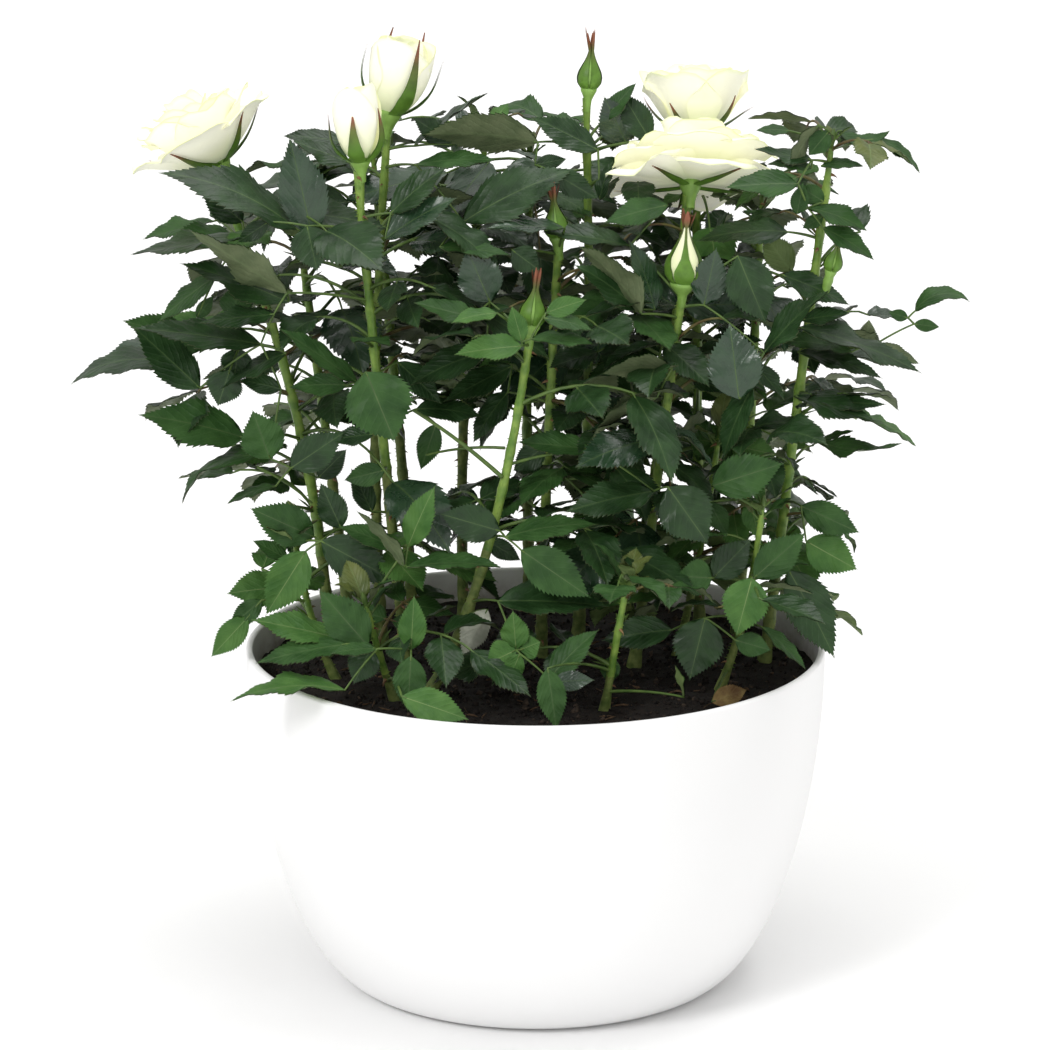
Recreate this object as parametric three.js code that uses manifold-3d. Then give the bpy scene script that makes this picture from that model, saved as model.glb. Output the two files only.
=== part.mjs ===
// A white rose bush in a round planter. Canes stand in the potting soil, each carries its own mass
// of compound leaves, and blooms and buds sit on stalks at the tips.
// Millimetres and degrees, +X right, +Y to the rear, +Z up, origin at the centre of the planter's foot.
import * as THREE from 'three';
import { mergeVertices } from 'three/addons/utils/BufferGeometryUtils.js';
import Module from 'manifold-3d';

const wasm = await Module();
wasm.setup();

const { Vector2, Vector3, MathUtils } = THREE;

// ---------------------------------------------------------------- driving dimensions

const seat = 0.3; // gap where one piece rests on the next

const planter = {
  height: 124,
  rimRadius: 105,
  footRadius: 66,
  wall: 3,
  floor: 4,
  soilDepth: 12, // from the rim down to the soil
  rise: 1.94, // how soon the wall turns upright
  belly: 1.72, // how full the bowl is
  sides: 32,
  outerSteps: 7,
  innerSteps: 4,
  crowding: 1.7, // draws the steps together near the foot, where the wall bends most
};

const soilTop = planter.height - planter.soilDepth;

const canePlan = {
  footRadius: 2.3,
  tipRadius: 1.5,
  flare: 0.9, // extra radius where the cane leaves the soil
  flareHeight: 9,
  sides: 5,
  bareStep: 16, // height of one step on a bare cane
  leafyStep: 30, // and on a shoot among the leaves
};

const leafPlan = {
  spacing: 14.5, // up the shoot, from one leaf to the next
  endRoom: 3.5, // between a leaf's root and the end of its shoot
  turn: 144, // round the shoot, from one leaf to the next
  rachis: 50,
  rachisRadius: 0.75,
  bendAt: 0.5, // share of the rachis
  sag: 34, // how far the outer half of the rachis hangs below the inner
  terminal: { at: 1, length: 40, width: 25, splay: 0, sunk: 0.5 },
  upperPair: { at: 0.76, length: 32, width: 21, splay: 56, sunk: 0 },
  lowerPair: { at: 0.38, length: 26, width: 17, splay: 64, sunk: 0 },
  youngReach: 0.7, // share of the rachis on a leaf with one pair
  widestAt: 0.42, // share of a leaflet's length
  fold: 0.1, // rise of the margins, as a share of the width
  thickness: 1, // of a leaflet at its midrib
  room: 0.3, // kept round a leaflet
  clearance: 0.2, // kept between one piece and the next, beyond their own room
  fewest: 3, // leaflets that a leaf must keep
  tries: 16,
};

// How much a leaf may differ from the plan, and how much more with every further try.
const spread = {
  heading: [20, 12],
  rise: [24, 3],
  roll: 44,
  droop: [0.18, 0.45],
  twist: 26,
  size: 0.2,
  leafletSize: 0.16,
  shrink: 0.015,
};

// By place on the shoot: how steeply a leaf rises, its size and its pairs of leaflets.
const topLeaf = { rise: 34, size: 0.85, pairs: ['upperPair'] };
const sideLeaf = { rise: 22, size: 1.03, pairs: ['upperPair', 'lowerPair'] };

// foot: where the cane meets the soil; knee: the point that its curve bends towards; tip: where it ends;
// leafy: heights of the lowest and topmost leaf; phase: heading of the topmost leaf; size: of its leaves.
const canePlans = {
  left_outer: { foot: [-76, 24], knee: [-78, 24, 205], tip: [-118, 22, 301], leafy: [150, 286], phase: 161 },
  left_front: { foot: [-47, 6], knee: [-55, 2, 200], tip: [-63, -4, 297], leafy: [188, 280], phase: 250 },
  left_rear: { foot: [-57, 38], knee: [-62, 34, 200], tip: [-53, 28, 308], leafy: [196, 292], phase: 150 },
  left_inner: { foot: [-46, 60], knee: [-50, 64, 190], tip: [-60, 68, 292], leafy: [205, 292], phase: 124 },
  centre_front: { foot: [-39, -32], knee: [-15, -30, 150], tip: [-2, -26, 243], leafy: [166, 236], phase: 215 },
  centre_rear: { foot: [-27, 66], knee: [-30, 70, 200], tip: [-18, 74, 298], leafy: [205, 298], phase: 60 },
  centre_inner: { foot: [2, 20], knee: [4, 14, 190], tip: [8, 8, 268], leafy: [170, 258], phase: 310 },
  rear_tall: { foot: [16, 46], knee: [22, 44, 200], tip: [18, 42, 316], leafy: [190, 300], phase: 32 },
  middle_right: { foot: [36, 6], knee: [43, 2, 180], tip: [52, -2, 253], leafy: [152, 238], phase: 326 },
  right_inner: { foot: [30, 30], knee: [50, 28, 190], tip: [54, 22, 284], leafy: [180, 274], phase: 228 },
  right_rear: { foot: [62, 58], knee: [60, 58, 200], tip: [59, 56, 296], leafy: [175, 284], phase: 116 },
  right_outer: { foot: [84, 14], knee: [94, 12, 205], tip: [105, 8, 306], leafy: [160, 306], phase: 335, size: 0.74 },
  rear_left: { foot: [-70, 58], knee: [-76, 70, 170], tip: [-88, 78, 258], leafy: [175, 258], phase: 130 },
  rear_middle: { foot: [-2, 84], knee: [-4, 92, 180], tip: [-2, 96, 288], leafy: [178, 288], phase: 75 },
  rear_right: { foot: [76, 52], knee: [80, 64, 170], tip: [84, 76, 272], leafy: [180, 272], phase: 42, size: 0.86 },
  low_right: { foot: [66, -22], knee: [76, -26, 140], tip: [80, -30, 182], leafy: [134, 182], phase: 330, size: 0.8 },
  low_middle: { foot: [52, 20], knee: [60, 12, 150], tip: [66, 4, 200], leafy: [140, 200], phase: 310 },
  low_left: { foot: [-72, -10], knee: [-82, -14, 135], tip: [-86, -18, 168], leafy: [128, 168], phase: 181, size: 0.85 },
  low_front: { foot: [24, -50], knee: [27, -51, 132], tip: [32, -54, 162], leafy: [126, 162], phase: 256, size: 0.8 },
  low_front_left: { foot: [-50, -36], knee: [-54, -38, 124], tip: [-60, -42, 150], leafy: [123, 150], phase: 190, size: 0.8 },
};

// Each ring of petals is one lobed shell: its length from root to rim, its lean from the flower's axis
// at both ends, and the height of its root on the heart.
const openRings = [
  { lobes: 5, length: 27, leanRoot: 66, leanTip: 100, low: 7 },
  { lobes: 4, length: 20, leanRoot: 40, leanTip: 66, low: 9 },
];
const bowlRings = [
  { lobes: 5, length: 24, leanRoot: 66, leanTip: 22, low: 5 },
  { lobes: 4, length: 19, leanRoot: 44, leanTip: 8, low: 7 },
];
const cupRings = [
  { lobes: 4, length: 24, leanRoot: 44, leanTip: 14, low: 5 },
  { lobes: 3, length: 20, leanRoot: 26, leanTip: 4, low: 7 },
];

// Blooms and buds by the cane that carries them. reach: the radius that a bloom's petals keep clear.
const heads = {
  left_outer: { name: 'bloom_left', rings: openRings, size: 0.86, reach: 28, lean: 24, toward: 165 },
  right_inner: { name: 'bloom_right', rings: openRings, size: 1.04, reach: 28, lean: 6, toward: 270 },
  left_rear: { name: 'bloom_rear_left', rings: cupRings, size: 1.15, reach: 15, lean: 12, toward: 0 },
  right_rear: { name: 'bloom_rear_right', rings: bowlRings, size: 1, reach: 22, lean: 8, toward: 100 },
  left_front: { name: 'bud_cream', bud: { radius: 8.6, height: 25, point: 0 }, lean: 4, toward: 200 },
  middle_right: { name: 'bud_striped', bud: { radius: 6.8, height: 18, point: 8 }, lean: 3, toward: 0 },
  rear_tall: { name: 'bud_green_top', bud: { radius: 5, height: 13, point: 10 }, lean: 4, toward: 20 },
  centre_front: { name: 'bud_green_front', bud: { radius: 4.8, height: 11, point: 7 }, lean: 8, toward: 30 },
  centre_inner: { name: 'bud_green_inner', bud: { radius: 4.4, height: 11, point: 8 }, lean: 6, toward: 200 },
};

const petalPlan = { thickness: 0.8, steps: 2, notch: 0.16, turn: 31 };
const stalkRadius = 1.6; // of a bud's or bloom's neck, which is sunk into the cane
const stalkSunk = 2;
const heartPlan = { radius: 8, height: 22, petals: 14, room: 10 };

const finish = {
  planter: { color: 0xf4f4f2, roughness: 0.35 },
  soil: { color: 0x1c1512, roughness: 0.95 },
  cane: { color: 0x5f8a35, roughness: 0.5 },
  leaf: { color: 0x2c5232, roughness: 0.5 },
  petal: { color: 0xf6f4e0, roughness: 0.6 },
  bud: { color: 0x7da548, roughness: 0.5 },
};

// ---------------------------------------------------------------- small helpers

const radians = MathUtils.degToRad;
const mix = MathUtils.lerp;
const vec = (x, y, z) => new Vector3(x, y, z);
const offset = (point, direction, distance) => point.clone().addScaledVector(direction, distance);

// A direction from its heading round the Z axis and its rise above the horizon.
function headingVector(heading, rise) {
  const level = Math.cos(radians(rise));
  return vec(Math.cos(radians(heading)) * level, Math.sin(radians(heading)) * level, Math.sin(radians(rise)));
}

// A stream of numbers from 0 to 1 that the seed alone decides.
function seededDraws(seed) {
  let state = seed >>> 0;
  return () => {
    state = (state + 0x6d2b79f5) >>> 0;
    let t = Math.imul(state ^ (state >>> 15), state | 1);
    t = (t + Math.imul(t ^ (t >>> 7), t | 61)) ^ t;
    return ((t ^ (t >>> 14)) >>> 0) / 2 ** 32;
  };
}

// ---------------------------------------------------------------- canes

// A cane's curve, the share of it at a height, and its radius at a share.
function caneFrom([name, plan]) {
  const foot = vec(...plan.foot, soilTop + seat);
  const line = new THREE.QuadraticBezierCurve3(foot, vec(...plan.knee), vec(...plan.tip));
  const shareAt = (height) => {
    const a = line.v0.z - 2 * line.v1.z + line.v2.z;
    const b = 2 * (line.v1.z - line.v0.z);
    const c = line.v0.z - height;
    return Math.min(1, Math.abs(a) < 1e-6 ? -c / b : (-b + Math.sqrt(b * b - 4 * a * c)) / (2 * a));
  };
  const radiusAt = (share) => {
    const aboveSoil = line.getPoint(share).z - soilTop;
    const flare = canePlan.flare * Math.max(0, 1 - aboveSoil / canePlan.flareHeight);
    return mix(canePlan.footRadius, canePlan.tipRadius, share) + flare;
  };
  const [lowest, topmost] = plan.leafy;
  return {
    name,
    line,
    shareAt,
    radiusAt,
    lowest,
    topmost,
    phase: plan.phase,
    size: plan.size ?? 1,
    from: shareAt(lowest),
    to: shareAt(topmost),
    gap: seat / line.getLength(),
    head: heads[name],
    leaves: [],
  };
}

const canes = Object.entries(canePlans).map(caneFrom);

// ---------------------------------------------------------------- leaves

// One leaflet: a blade from its base to its tip, folded along the midrib so that its margins stand up.
function leaflet(base, along, across, plan, size) {
  const length = plan.length * size;
  const half = (plan.width * size) / 2;
  const up = along.clone().cross(across).normalize();
  const rib = offset(base, along, leafPlan.widestAt * length);
  const margin = offset(rib, up, leafPlan.fold * half * 2);
  const points = [base, offset(margin, across, half), offset(base, along, length), offset(margin, across, -half)];
  return { points, rib, up, half: leafPlan.room };
}

// A compound leaf: a rachis that bends once, a terminal leaflet and two pairs, or one near a shoot's tip.
function compoundLeaf(root, { heading, rise, roll, size, pairs }, draw) {
  const reach = leafPlan.rachis * size * (pairs.length > 1 ? 1 : leafPlan.youngReach);
  const out = headingVector(heading, rise);
  const bent = headingVector(heading, rise - leafPlan.sag);
  const across = headingVector(heading + 90, 0).applyAxisAngle(out, radians(roll));
  const joint = offset(root, out, leafPlan.bendAt * reach);
  const end = offset(joint, bent, (1 - leafPlan.bendAt) * reach);
  const half = leafPlan.rachisRadius;
  const rods = [
    { points: [root, joint], half },
    { points: [joint, end], half },
  ];
  const place = (plan, hand) => {
    const inner = plan.at < leafPlan.bendAt;
    const course = inner ? out : bent;
    const start = inner ? root : joint;
    const point = offset(start, course, (inner ? plan.at : plan.at - leafPlan.bendAt) * reach);
    const splay = radians(plan.splay) * hand;
    const along = course.clone().multiplyScalar(Math.cos(splay)).addScaledVector(across, Math.sin(splay));
    along.z -= spread.droop[0] + spread.droop[1] * draw();
    along.normalize();
    const upward = course.clone().cross(across);
    const level = upward.cross(along).normalize();
    const side = level.applyAxisAngle(along, radians(spread.twist * (draw() - 0.5)));
    const base = offset(point, along, -plan.sunk);
    return leaflet(base, along, side, plan, size * (1 + spread.leafletSize * (draw() - 0.5)));
  };
  const blades = [place(leafPlan.terminal, 0)];
  for (const pair of pairs) blades.push(place(leafPlan[pair], 1), place(leafPlan[pair], -1));
  return { rods, blades };
}

const leafHeight = (cane, round) => cane.topmost - leafPlan.endRoom - round * leafPlan.spacing;

// A try at one leaf of a cane; each try turns, tilts and sizes it a little differently.
function leafTry(cane, number, round, attempt) {
  const draw = seededDraws(number * 1000 + round * 50 + attempt);
  const place = round === 0 ? topLeaf : sideLeaf;
  const root = cane.line.getPoint(cane.shareAt(leafHeight(cane, round)));
  const widened = ([first, more]) => (first + more * attempt) * (draw() - 0.5);
  const heading = cane.phase + leafPlan.turn * round + widened(spread.heading);
  const rise = place.rise + widened(spread.rise);
  const roll = spread.roll * (draw() - 0.5);
  const vigour = (1 + spread.size * (draw() - 0.5)) * (1 - spread.shrink * attempt);
  const size = cane.size * place.size * vigour;
  return compoundLeaf(root, { heading, rise, roll, size, pairs: place.pairs }, draw);
}

// ---------------------------------------------------------------- room between the masses

// A bit is a straight bar of two points or a blade of four, with a round allowance of its own.
function measured(bit, cane) {
  const count = bit.points.length;
  const edges = [];
  for (let i = 0; i < (count > 2 ? count : 1); i++) {
    edges.push(bit.points[(i + 1) % count].clone().sub(bit.points[i]));
  }
  const faces = count > 2 ? [bit.up, ...edges.map((edge) => edge.clone().cross(bit.up))] : [];
  const centre = bit.points.reduce((sum, point) => sum.add(point), vec(0, 0, 0)).divideScalar(count);
  const reach = Math.max(...bit.points.map((point) => point.distanceTo(centre))) + bit.half;
  return { ...bit, cane, edges, faces, centre, reach };
}

// True if some direction separates the two bits by the clearance.
function apart(a, b) {
  const between = b.centre.clone().sub(a.centre);
  if (between.length() > a.reach + b.reach + leafPlan.clearance) return true;
  const needed = a.half + b.half + leafPlan.clearance;
  const axes = [between, ...a.faces, ...b.faces];
  for (const edge of a.edges) for (const other of b.edges) axes.push(edge.clone().cross(other));
  return axes.some((axis) => {
    const length = axis.length();
    if (length < 1e-6) return false;
    const first = a.points.map((point) => point.dot(axis) / length);
    const second = b.points.map((point) => point.dot(axis) / length);
    return Math.max(Math.min(...second) - Math.max(...first), Math.min(...first) - Math.max(...second)) > needed;
  });
}

// True if the point is above the rim, outside the planter or over the soil inside it.
function clearOfPlanter(point) {
  const room = 2;
  const radius = Math.hypot(point.x, point.y);
  if (point.z > planter.height + room || radius > planter.rimRadius + room) return true;
  return radius < planter.rimRadius - planter.wall - room && point.z > soilTop + room;
}

// The same for points spread over a bit.
function bitClearOfPlanter({ points, rib }) {
  const steps = 8;
  const [base, left, tip, right] = points.length > 2 ? points : [points[0], null, points[1], null];
  for (let i = 0; i <= steps; i++) {
    const share = i / steps;
    const spine = base.clone().lerp(tip, share);
    if (!clearOfPlanter(spine)) return false;
    const width = share < leafPlan.widestAt ? share / leafPlan.widestAt : (1 - share) / (1 - leafPlan.widestAt);
    for (const edge of left ? [left, right] : []) {
      if (!clearOfPlanter(offset(spine, edge.clone().sub(rib), width))) return false;
      if (!clearOfPlanter(offset(spine, edge.clone().sub(rib), width / 2))) return false;
    }
  }
  return true;
}

// A cane, its shoot and its stalk as a run of bars.
function caneBits(cane) {
  const steps = 10;
  const bits = [];
  for (let i = 0; i < steps; i++) {
    const points = [cane.line.getPoint(i / steps), cane.line.getPoint((i + 1) / steps)];
    bits.push(measured({ points, half: cane.radiusAt(i / steps) + 0.2 }, cane));
  }
  return bits;
}

// A bud is a bar on its axis. A bloom is one too, with four more across it for the petals.
function headBits(cane) {
  const { bud, size, reach, toward, lean } = cane.head;
  const axis = headingVector(toward, 90 - lean);
  const spot = (height) => offset(cane.line.v2, axis, height);
  if (bud) return [measured({ points: [spot(4), spot(4 + bud.height)], half: bud.radius + 1 }, cane)];
  const half = heartPlan.room * size;
  const middle = spot(heartPlan.petals * size);
  const bars = [measured({ points: [spot(0), middle], half: half / 2 }, cane)];
  for (let turn = 0; turn < 180; turn += 45) {
    const across = headingVector(turn, 0).multiplyScalar(reach * size - half);
    bars.push(measured({ points: [middle.clone().sub(across), middle.clone().add(across)], half }, cane));
  }
  return bars;
}

// Leaves are dealt out cane by cane, one round at a time. A leaf takes the first try that is all clear,
// or else the try that keeps the most leaflets, without those that touch something.
function growLeaves() {
  const taken = canes.flatMap((cane) => [...caneBits(cane), ...(cane.head ? headBits(cane) : [])]);
  const isClear = (bit, spared) =>
    bitClearOfPlanter(bit) && !taken.some((other) => other.cane !== spared && !apart(bit, other));
  const rounds = Math.max(...canes.map((cane) => (cane.topmost - cane.lowest) / leafPlan.spacing));
  for (let round = 0; round < rounds; round++) {
    canes.forEach((cane, number) => {
      if (leafHeight(cane, round) < cane.lowest + leafPlan.endRoom) return;
      let best = { blades: [] };
      for (let attempt = 0; attempt < leafPlan.tries; attempt++) {
        const { rods, blades } = leafTry(cane, number, round, attempt);
        const [lower, upper] = rods.map((rod) => measured(rod, cane));
        if (!isClear(lower, cane) || !isClear(upper)) continue;
        const kept = blades.map((blade) => measured(blade, cane)).filter((blade) => isClear(blade));
        if (kept.length > best.blades.length) best = { rods: [lower, upper], blades: kept };
        if (kept.length === blades.length) break;
      }
      if (best.blades.length < leafPlan.fewest) return;
      taken.push(...best.rods, ...best.blades);
      cane.leaves.push(best);
    });
  }
}

// ---------------------------------------------------------------- solids

function solidFrom(geometry) {
  for (const name of ['normal', 'uv']) geometry.deleteAttribute(name);
  const merged = mergeVertices(geometry, 1e-5);
  const vertProperties = Float32Array.from(merged.attributes.position.array);
  const triVerts = Uint32Array.from(merged.index.array);
  return new wasm.Manifold(new wasm.Mesh({ numProp: 3, vertProperties, triVerts }));
}

const fused = (solids) => solids.reduce((whole, solid) => whole.add(solid));

// Moves each vertex of a geometry to where the rule puts it.
function reshaped(geometry, rule) {
  const position = geometry.attributes.position;
  for (let i = 0; i < position.count; i++) {
    const moved = rule(position.getX(i), position.getY(i), position.getZ(i));
    position.setXYZ(i, moved.x, moved.y, moved.z);
  }
  return geometry;
}

// A prism with a regular section, bent along a line, with its own radius at each share of the way.
function limb(pointAt, directionAt, radiusAt, sides, steps) {
  const lean = Math.abs(directionAt(0).z) > 0.8 ? vec(1, 0, 0) : vec(0, 0, 1);
  const corners = [];
  for (let i = 0; i < sides; i++) {
    const angle = (2 * Math.PI * i) / sides;
    corners.push(new Vector2(Math.cos(angle), Math.sin(angle)));
  }
  const prism = new THREE.ExtrudeGeometry(new THREE.Shape(corners), { depth: 1, steps, bevelEnabled: false });
  return solidFrom(
    reshaped(prism, (x, y, share) => {
      const direction = directionAt(share);
      const first = lean.clone().addScaledVector(direction, -lean.dot(direction)).normalize();
      const second = direction.clone().cross(first);
      const spot = offset(pointAt(share), first, x * radiusAt(share));
      return spot.addScaledVector(second, y * radiusAt(share));
    }),
  );
}

// The stretch of a cane between two shares of its curve; its foot is cut level with the soil.
function caneStretch({ line, radiusAt }, from, to, steps) {
  const at = (share) => mix(from, to, share);
  const directionAt = (share) => (at(share) > 0 ? line.getTangent(at(share)) : vec(0, 0, 1));
  return limb((share) => line.getPoint(at(share)), directionAt, (share) => radiusAt(at(share)), canePlan.sides, steps);
}

// The bare cane, from the soil to its lowest leaf.
function caneSolid(cane) {
  return caneStretch(cane, 0, cane.from, Math.round((cane.lowest - soilTop) / canePlan.bareStep) + 1);
}

// The rachis is a three-sided limb that bends once, where its two rods meet.
function rachisSolid([lower, upper]) {
  const stations = [...lower.points, upper.points[1]];
  const bent = new THREE.CatmullRomCurve3(stations, false, 'chordal');
  const stationAt = (share) => stations[Math.round(2 * share)];
  return limb(stationAt, (share) => bent.getTangent(share), () => lower.half, 3, 2);
}

// A leaflet has its base, left margin, tip and right margin, and a crown above the midrib.
const bladeFaces = [0, 3, 4, 3, 2, 4, 2, 1, 4, 1, 0, 4, 0, 1, 2, 2, 3, 0];

function bladeSolid({ points, rib, up }) {
  const crown = offset(rib, up, leafPlan.thickness);
  const geometry = new THREE.BufferGeometry().setFromPoints([...points, crown]);
  return solidFrom(geometry.setIndex(bladeFaces));
}

// The leafy shoot with its leaves, which starts just above the bare cane.
function massSolid(cane) {
  const steps = Math.max(2, Math.round((cane.topmost - cane.lowest) / canePlan.leafyStep));
  const shoot = caneStretch(cane, cane.from + cane.gap, cane.to, steps);
  const leaves = cane.leaves.flatMap(({ rods, blades }) => [rachisSolid(rods), ...blades.map(bladeSolid)]);
  return fused([shoot, ...leaves]);
}

// ---------------------------------------------------------------- blooms and buds

// Places a point that is measured from the cane's tip, with Z along the flower's axis.
function headFrame(cane) {
  const axis = headingVector(cane.head.toward, 90 - cane.head.lean);
  const first = vec(1, 0, 0).addScaledVector(axis, -axis.x).normalize();
  const second = axis.clone().cross(first);
  return (x, y, z) => offset(offset(offset(cane.line.v2, first, x), second, y), axis, z);
}

// A turned body on the flower's axis, from a list of [radius, height].
function turned(place, outline, sides) {
  const lathe = new THREE.LatheGeometry(outline.map(([radius, height]) => new Vector2(radius, height)), sides);
  return solidFrom(reshaped(lathe, (x, y, z) => place(x, -z, y)));
}

// A ring of petals leaves the flower's axis at one lean and ends at another, with a notch between lobes.
function petalRing(place, ring, size, heading) {
  const { thickness, steps, notch } = petalPlan;
  const from = radians(ring.leanRoot);
  const bend = radians(ring.leanTip) - from;
  const arc = (share, lift) => {
    const lean = from + bend * share;
    const outward = (ring.length * (Math.cos(from) - Math.cos(lean))) / bend;
    const upward = (ring.length * (Math.sin(lean) - Math.sin(from))) / bend;
    return new Vector2(outward - lift * Math.cos(lean) + thickness, ring.low + upward + lift * Math.sin(lean));
  };
  const outline = [new Vector2(0, ring.low - thickness)];
  for (let i = 0; i <= steps; i++) outline.push(arc(i / steps, 0));
  for (let i = steps; i >= 0; i--) outline.push(arc(i / steps, thickness));
  outline.push(new Vector2(0, ring.low + thickness));
  const full = arc(1, 0).length();
  const ringGeometry = new THREE.LatheGeometry(outline, ring.lobes * 2);
  return solidFrom(
    reshaped(ringGeometry, (x, y, z) => {
      const around = Math.atan2(x, z);
      const share = Math.hypot(x, y, z) / full;
      const left = 1 - notch * share * share * (1 + Math.cos(around * ring.lobes));
      const turn = around + radians(heading);
      const radius = Math.hypot(x, z) * left * size;
      return place(Math.sin(turn) * radius, -Math.cos(turn) * radius, (y * size * (1 + left)) / 2);
    }),
  );
}

// A bud is turned: neck, hip, waist, swelling and the point that its sepals draw out to.
function budSolid(place, { radius, height, point }) {
  const hip = radius * 0.55;
  const waist = 6;
  const outline = [
    [0, -stalkSunk],
    [stalkRadius, -stalkSunk],
    [hip, waist / 2],
    [hip * 0.85, waist],
    [radius, waist + height * 0.36],
    [radius * 0.55, waist + height * 0.8],
    [radius * (point > 0 ? 0.22 : 0.3), waist + height],
    [0, waist + height + point],
  ];
  return turned(place, outline, 7);
}

// A bloom is a turned hip and heart with the rings of petals round it.
function bloomSolid(place, { rings, size }) {
  const { radius, height } = heartPlan;
  const outline = [
    [0, -stalkSunk],
    [stalkRadius, -stalkSunk],
    [radius * 0.5 * size, height * 0.1 * size],
    [radius * 0.45 * size, height * 0.28 * size],
    [radius * size, height * 0.55 * size],
    [radius * 0.88 * size, height * 0.82 * size],
    [0, height * size],
  ];
  const petals = rings.map((ring, level) => petalRing(place, ring, size, petalPlan.turn * level));
  return fused([turned(place, outline, 6), ...petals]);
}

function headSolid(cane) {
  const place = headFrame(cane);
  const stalk = caneStretch(cane, cane.to + cane.gap, 1, 2);
  return stalk.add(cane.head.bud ? budSolid(place, cane.head.bud) : bloomSolid(place, cane.head));
}

// ---------------------------------------------------------------- planter and soil

// Radius of the bowl's outer face at a height.
function bowlRadius(height) {
  const swell = (1 - (1 - height / planter.height) ** planter.rise) ** (1 / planter.belly);
  return mix(planter.footRadius, planter.rimRadius, swell);
}

// Points of the bowl's profile between two heights, set in from the outer face.
function bowlProfile(inset, from, to, steps) {
  const points = [];
  for (let i = 0; i <= steps; i++) {
    const height = mix(from, to, (i / steps) ** planter.crowding);
    points.push(new Vector2(bowlRadius(height) - inset, height));
  }
  return points;
}

function planterGeometry() {
  const outer = bowlProfile(0, 0, planter.height, planter.outerSteps);
  const rim = new Vector2(planter.rimRadius - planter.wall, planter.height);
  const inner = bowlProfile(planter.wall, planter.floor, soilTop, planter.innerSteps).reverse();
  const outline = [new Vector2(0, 0), ...outer, rim, ...inner, new Vector2(0, planter.floor)];
  return new THREE.LatheGeometry(outline, planter.sides);
}

// The soil keeps the bowl's inner steps, so that the two faces stay parallel.
function soilGeometry() {
  const side = bowlProfile(planter.wall + seat, planter.floor, soilTop, planter.innerSteps);
  side[0].y += seat;
  const outline = [new Vector2(0, side[0].y), ...side, new Vector2(0, soilTop)];
  return new THREE.LatheGeometry(outline, planter.sides);
}

// ---------------------------------------------------------------- the bush

const part = new THREE.Group();
const pot = new THREE.Group(); // turns a lathe's Y axis to the part's Z
pot.rotation.x = Math.PI / 2;
part.add(pot);

function addMesh(group, name, geometry, { color, roughness }) {
  const mesh = new THREE.Mesh(geometry, new THREE.MeshStandardMaterial({ color, roughness, metalness: 0 }));
  mesh.name = name;
  group.add(mesh);
}

// A solid as a geometry measured from its own group's place.
function geometryOf(solid, place) {
  const { vertProperties, triVerts } = solid.getMesh();
  const geometry = new THREE.BufferGeometry();
  geometry.setAttribute('position', new THREE.BufferAttribute(vertProperties, 3));
  geometry.setIndex(new THREE.BufferAttribute(triVerts, 1));
  return geometry.translate(-place.x, -place.y, -place.z);
}

addMesh(pot, 'planter', planterGeometry(), finish.planter);
addMesh(pot, 'potting_soil', soilGeometry(), finish.soil);

growLeaves();

for (const cane of canes) {
  const plant = new THREE.Group();
  plant.position.copy(cane.line.v0);
  part.add(plant);
  const add = (name, solid, look) => addMesh(plant, name, geometryOf(solid, plant.position), look);
  add(`cane_${cane.name}`, caneSolid(cane), finish.cane);
  add(`foliage_${cane.name}`, massSolid(cane), finish.leaf);
  if (cane.head) add(cane.head.name, headSolid(cane), cane.head.bud ? finish.bud : finish.petal);
}

export default part;
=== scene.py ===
import math

import bpy
import numpy as np
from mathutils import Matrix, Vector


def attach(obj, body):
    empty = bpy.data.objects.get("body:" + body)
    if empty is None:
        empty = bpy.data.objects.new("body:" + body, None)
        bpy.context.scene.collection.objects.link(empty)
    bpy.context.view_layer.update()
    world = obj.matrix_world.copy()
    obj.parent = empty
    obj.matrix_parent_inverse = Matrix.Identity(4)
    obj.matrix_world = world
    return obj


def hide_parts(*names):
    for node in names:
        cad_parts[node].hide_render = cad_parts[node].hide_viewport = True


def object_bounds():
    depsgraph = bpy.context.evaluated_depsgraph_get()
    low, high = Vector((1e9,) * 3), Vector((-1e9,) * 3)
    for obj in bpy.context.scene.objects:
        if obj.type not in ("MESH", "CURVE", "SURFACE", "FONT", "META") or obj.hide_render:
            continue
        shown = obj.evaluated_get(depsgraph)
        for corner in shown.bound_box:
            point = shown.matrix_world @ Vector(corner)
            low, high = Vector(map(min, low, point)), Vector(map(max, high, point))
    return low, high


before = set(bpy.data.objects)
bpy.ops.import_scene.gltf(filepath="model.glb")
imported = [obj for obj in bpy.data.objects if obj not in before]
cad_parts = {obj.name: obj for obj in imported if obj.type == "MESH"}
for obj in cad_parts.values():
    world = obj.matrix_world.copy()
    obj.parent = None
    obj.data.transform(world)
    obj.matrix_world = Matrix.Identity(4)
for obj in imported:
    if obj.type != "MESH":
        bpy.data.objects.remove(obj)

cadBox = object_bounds()
millimetre = 0.001  # everything below is worked out in millimetres


def vec(x, y, z=0.0):
    return np.array([x, y, z], float)


def unit(v):
    return v / np.linalg.norm(v)


def mix(a, b, share):
    return a + (b - a) * share


def eased(share):
    share = np.clip(share, 0, 1)
    return share * share * (3 - 2 * share)


def headingVector(heading, rise):
    level = math.cos(math.radians(rise))
    return vec(
        math.cos(math.radians(heading)) * level,
        math.sin(math.radians(heading)) * level,
        math.sin(math.radians(rise)),
    )


def turned(v, axis, degrees):
    angle = math.radians(degrees)
    return (
        v * math.cos(angle)
        + np.cross(axis, v) * math.sin(angle)
        + axis * np.dot(axis, v) * (1 - math.cos(angle))
    )


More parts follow.
